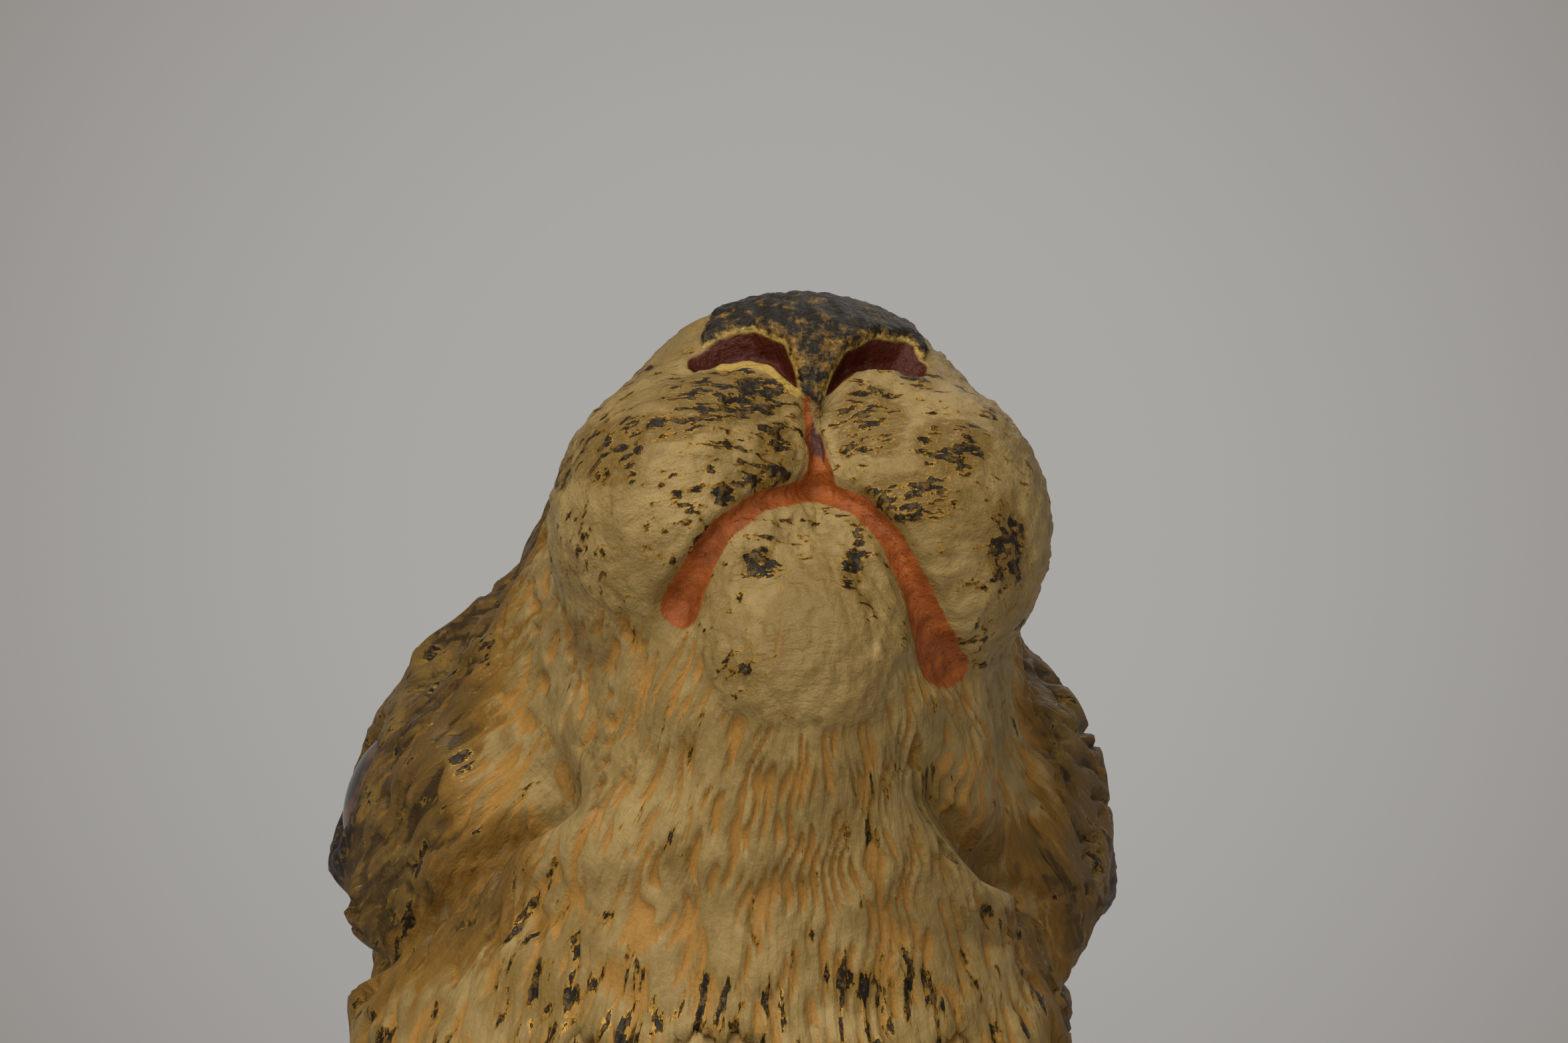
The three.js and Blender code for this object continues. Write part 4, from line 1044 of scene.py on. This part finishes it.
# Thighs, which come out of the flanks and leave a crease in front of them
for side_name, side in SIDES:
    outward = np.array([side, 1, 1])
    haunch_at = HAUNCH[0] * outward
    knee_at = KNEE[0] * outward
    haunch = mass(haunch_at, np.array(HAUNCH[1]) - THIGH_SUNK)
    thigh = blended(10.0, haunch, mass(knee_at, KNEE[1]))
    thigh_core = [haunch_at, (haunch_at + knee_at) / 2, knee_at]
    make_limb(f"{side_name}_thigh", "body_casting", "brown_paint", thigh, thigh_core, (45, 40, 40),
              radius=16.0, seed=61, depth=0.5, brown=(0.75, 2, 22))

# Forelegs and hind feet: limbs with toes, cut level where they stand. Places are back and up
LEG_SPREAD = wide(0.154)
SHOULDER = (-29, high(0.426))
SHOULDER_RADIUS = 10.5
WRIST = (-40.5, 9)
WRIST_RADIUS = 5.2
PAW = (-45.5, 4.2)
PAW_RADII = (6.4, 9, 5.6)
PAW_TOES_BACK = 2.5
FOOT_SPREAD = wide(0.352)
HEEL = (30, 4.2)
HEEL_RADIUS = 5.6
ARCH = (8, 4.2)
BALL = (-13, 4.2)
BALL_RADIUS = 7.2
FOOT_TOES_BACK = 1.6
TOE_RADII = (2.1, 5.4, 3.2)
TOE_PITCH = 3.3
TOE_STAGGER = 0.9
TOE_PLACES = np.array([-1.5, -0.5, 0.5, 1.5])
TOE_BLEND = 0.7
SCREW_HOLE_RADIUS = 3.5
SCREW_HOLE_DEPTH = 3.5
BIT_SIDES = 64


def toes(x, y):
    """Four toes in a shallow arc, the middle ones ahead."""
    return [mass((x + place * TOE_PITCH, y + TOE_STAGGER * abs(place), TOE_RADII[2]), TOE_RADII)
            for place in TOE_PLACES]


def drill(piece, place, radius, depth):
    """Takes a round hole out of a piece from below, with a many-sided bit."""
    bit_mesh = bpy.data.meshes.new("bit")
    bit_form = bmesh.new()
    bmesh.ops.create_cone(bit_form, cap_ends=True, segments=BIT_SIDES, radius1=radius * METRES,
                          radius2=radius * METRES, depth=2 * depth * METRES)
    bit_form.to_mesh(bit_mesh)
    bit_form.free()
    bit = bpy.data.objects.new("bit", bit_mesh)
    bit.location = (np.array(place) + FRAME_SHIFT) * METRES
    bpy.context.scene.collection.objects.link(bit)
    hole = piece.modifiers.new("hole", "BOOLEAN")
    hole.operation = "DIFFERENCE"
    hole.solver = "EXACT"
    hole.object = bit
    bpy.context.view_layer.update()
    drilled = bpy.data.meshes.new_from_object(piece.evaluated_get(bpy.context.evaluated_depsgraph_get()))
    piece.modifiers.clear()
    piece.data = drilled
    bpy.data.objects.remove(bit)


for side_name, side in SIDES:
    x = side * LEG_SPREAD
    shoulder_at = [x, *SHOULDER]
    wrist_at = [x, *WRIST]
    paw_at = [x, *PAW]
    leg = limb(shoulder_at, SHOULDER_RADIUS, wrist_at, WRIST_RADIUS)
    leg = blended(4.0, leg, mass(paw_at, PAW_RADII))
    leg = standing(blended(TOE_BLEND, leg, *toes(x, PAW_TOES_BACK + PAW[0] - PAW_RADII[1])))
    leg_core = [shoulder_at, wrist_at, paw_at]
    make_limb(f"{side_name}_foreleg_skin", f"{side_name}_foreleg", "cream_paint", leg, leg_core,
              (30, 110, 60), radius=7.0, seed=81 + side, depth=0.4, brown=(0.7, 14, 44))
    x = side * FOOT_SPREAD
    heel_at = [x, *HEEL]
    ball_at = [x, *BALL]
    foot = limb(heel_at, HEEL_RADIUS, ball_at, BALL_RADIUS)
    foot = standing(blended(TOE_BLEND, foot, *toes(x, FOOT_TOES_BACK + BALL[0] - BALL_RADIUS)))
    foot_core = [heel_at, [x, *ARCH], ball_at]
    foot_skin = make_limb(f"{side_name}_hind_foot_skin", f"{side_name}_hind_foot", "cream_paint", foot,
                          foot_core, (36, 130, 60), radius=6.5, seed=91 + side, depth=0.35,
                          brown=(0.3, 5, 12))
    drill(foot_skin, [x, FOOT_SCREW_BACK, 0.0], SCREW_HOLE_RADIUS, SCREW_HOLE_DEPTH)

# Tail
TAIL_AT = np.array([0, 63.5, high(0.197)])
TAIL_RADII = (10, 9, 12)
TAIL_LEAN = 20
TAIL_REACH = np.array([0, 0, 4])
TAIL_AROUND = 160
tail = mass(TAIL_AT, TAIL_RADII, TAIL_LEAN)
tail_core = [TAIL_AT - TAIL_REACH, TAIL_AT, TAIL_AT + TAIL_REACH]
make_limb("tail_tuft", "tail", "cream_paint", tail, tail_core, (45, 20, 45),
          radius=9.0, seed=97, depth=0.7, brown=(0.8, 24, 36), around=TAIL_AROUND)

# Fixings keep the model's own shapes
FIXINGS = ("pin", "screw", "nut")
for name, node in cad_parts.items():
    if any(fixing in name for fixing in FIXINGS):
        node.data.materials.clear()
        node.data.materials.append(bronze)

# Floor
FLOOR_HALF = 1.5
floor_mesh = bpy.data.meshes.new("floor")
corners = FLOOR_HALF * np.array([[-1, -1, 0], [1, -1, 0], [1, 1, 0], [-1, 1, 0]])
floor_mesh.from_pydata(corners, [], [[0, 1, 2, 3]])
floor = bpy.data.objects.new("floor", floor_mesh)
bpy.context.scene.collection.objects.link(floor)
floor_paint = Nodes(bpy.data.materials.new("floor"))
cloud = floor_paint.grain(floor_paint.object_coordinates(), 3 * EVEN)
floor_colour = floor_paint.colour(cloud, FLOOR_PALE, FLOOR_CLOUD)
floor_mesh.materials.append(floor_paint.finish(floor_colour, 0.8, 0.0))

# Camera and lamps


def placed(obj, place, forward, right):
    """Puts a camera or lamp at a place, looking along forward."""
    turn = np.eye(4)
    turn[:3, :3] = np.stack([right, np.cross(right, forward), -forward], -1)
    turn[:3, 3] = place
    obj.matrix_world = Matrix(turn.tolist())
    bpy.context.scene.collection.objects.link(obj)


camera = bpy.data.cameras.new("camera")
camera.sensor_width = SENSOR
camera.lens = SENSOR * CAMERA_DISTANCE / FIELD_WIDTH
camera.clip_start = 0.01
camera_object = bpy.data.objects.new("camera", camera)
placed(camera_object, (VIEW_FROM + FRAME_SHIFT) * METRES, VIEW_FORWARD, VIEW_RIGHT)
bpy.context.scene.camera = camera_object

LAMP_AIM = (np.array([0.0, -40.0, 110.0]) + FRAME_SHIFT) * METRES


def soft_lamp(name, azimuth, elevation, distance, width, height, power, colour):
    """A flat lamp on a sphere round the head, turned to face it. Angles in degrees, lengths in metres."""
    azimuth, elevation = np.radians([azimuth, elevation])
    outward = np.array([np.sin(azimuth) * np.cos(elevation), -np.cos(azimuth) * np.cos(elevation),
                        np.sin(elevation)])
    lamp = bpy.data.lights.new(name, "AREA")
    lamp.shape = "RECTANGLE"
    lamp.size = width
    lamp.size_y = height
    lamp.energy = power
    lamp.color = colour
    sideways = unit(np.cross(-outward, np.array([0.0, 0.0, 1.0])))
    placed(bpy.data.objects.new(name, lamp), LAMP_AIM + distance * outward, -outward, sideways)


# Lamps: azimuth, elevation, distance, width, height, power and colour
LAMPS = {
    "window_light": (-28.0, 26.0, 1.2, 0.8, 0.8, 12.2, (1.0, 0.96, 0.88)),
    "low_fill": (-10.0, -5.5, 0.75, 0.6, 0.07, 1.8, (1.0, 0.95, 0.85)),
    "room_light": (122.0, 64.0, 1.3, 0.9, 0.9, 3.0, (1.0, 0.97, 0.92)),
}
for name, setting in LAMPS.items():
    soft_lamp(name, *setting)

# Room: a warm glow on the figure, and a grey backdrop where it is seen directly, mirrored or through glass
GLOW_STRENGTH = 0.36
BACKDROP_MIDDLE_COS = 0.9985
BACKDROP_EDGE_COS = 0.989
room = Nodes(bpy.data.worlds.new("room"))
bpy.context.scene.world = room.owner
glow = room.fill(room.tree.nodes["Background"], {"Color": ROOM_GLOW, "Strength": GLOW_STRENGTH})
# The backdrop darkens away from the middle of the view: painted shade, as light falls off towards its edges
looking = room.add("VectorMath", {0: room.add("TexCoord").outputs["Generated"], 1: VIEW_FORWARD})
looking.operation = "DOT_PRODUCT"
off_centre = room.rise(looking.outputs["Value"], BACKDROP_MIDDLE_COS, BACKDROP_EDGE_COS, "LINEAR")
backdrop = room.add("Background", {"Color": room.colour(off_centre, BACKDROP, BACKDROP_SHADED_EDGE)})
ray = room.add("LightPath").outputs
mirrored = room.math("MAXIMUM", ray["Is Glossy Ray"], ray["Is Transmission Ray"])
seen = room.math("MAXIMUM", ray["Is Camera Ray"], mirrored)
shown = room.add("MixShader", {"Fac": seen, 1: glow.outputs[0], 2: backdrop.outputs[0]})
room.fill(room.tree.nodes["World Output"], {"Surface": shown.outputs[0]})

bpy.context.scene.view_settings.view_transform = "Standard"
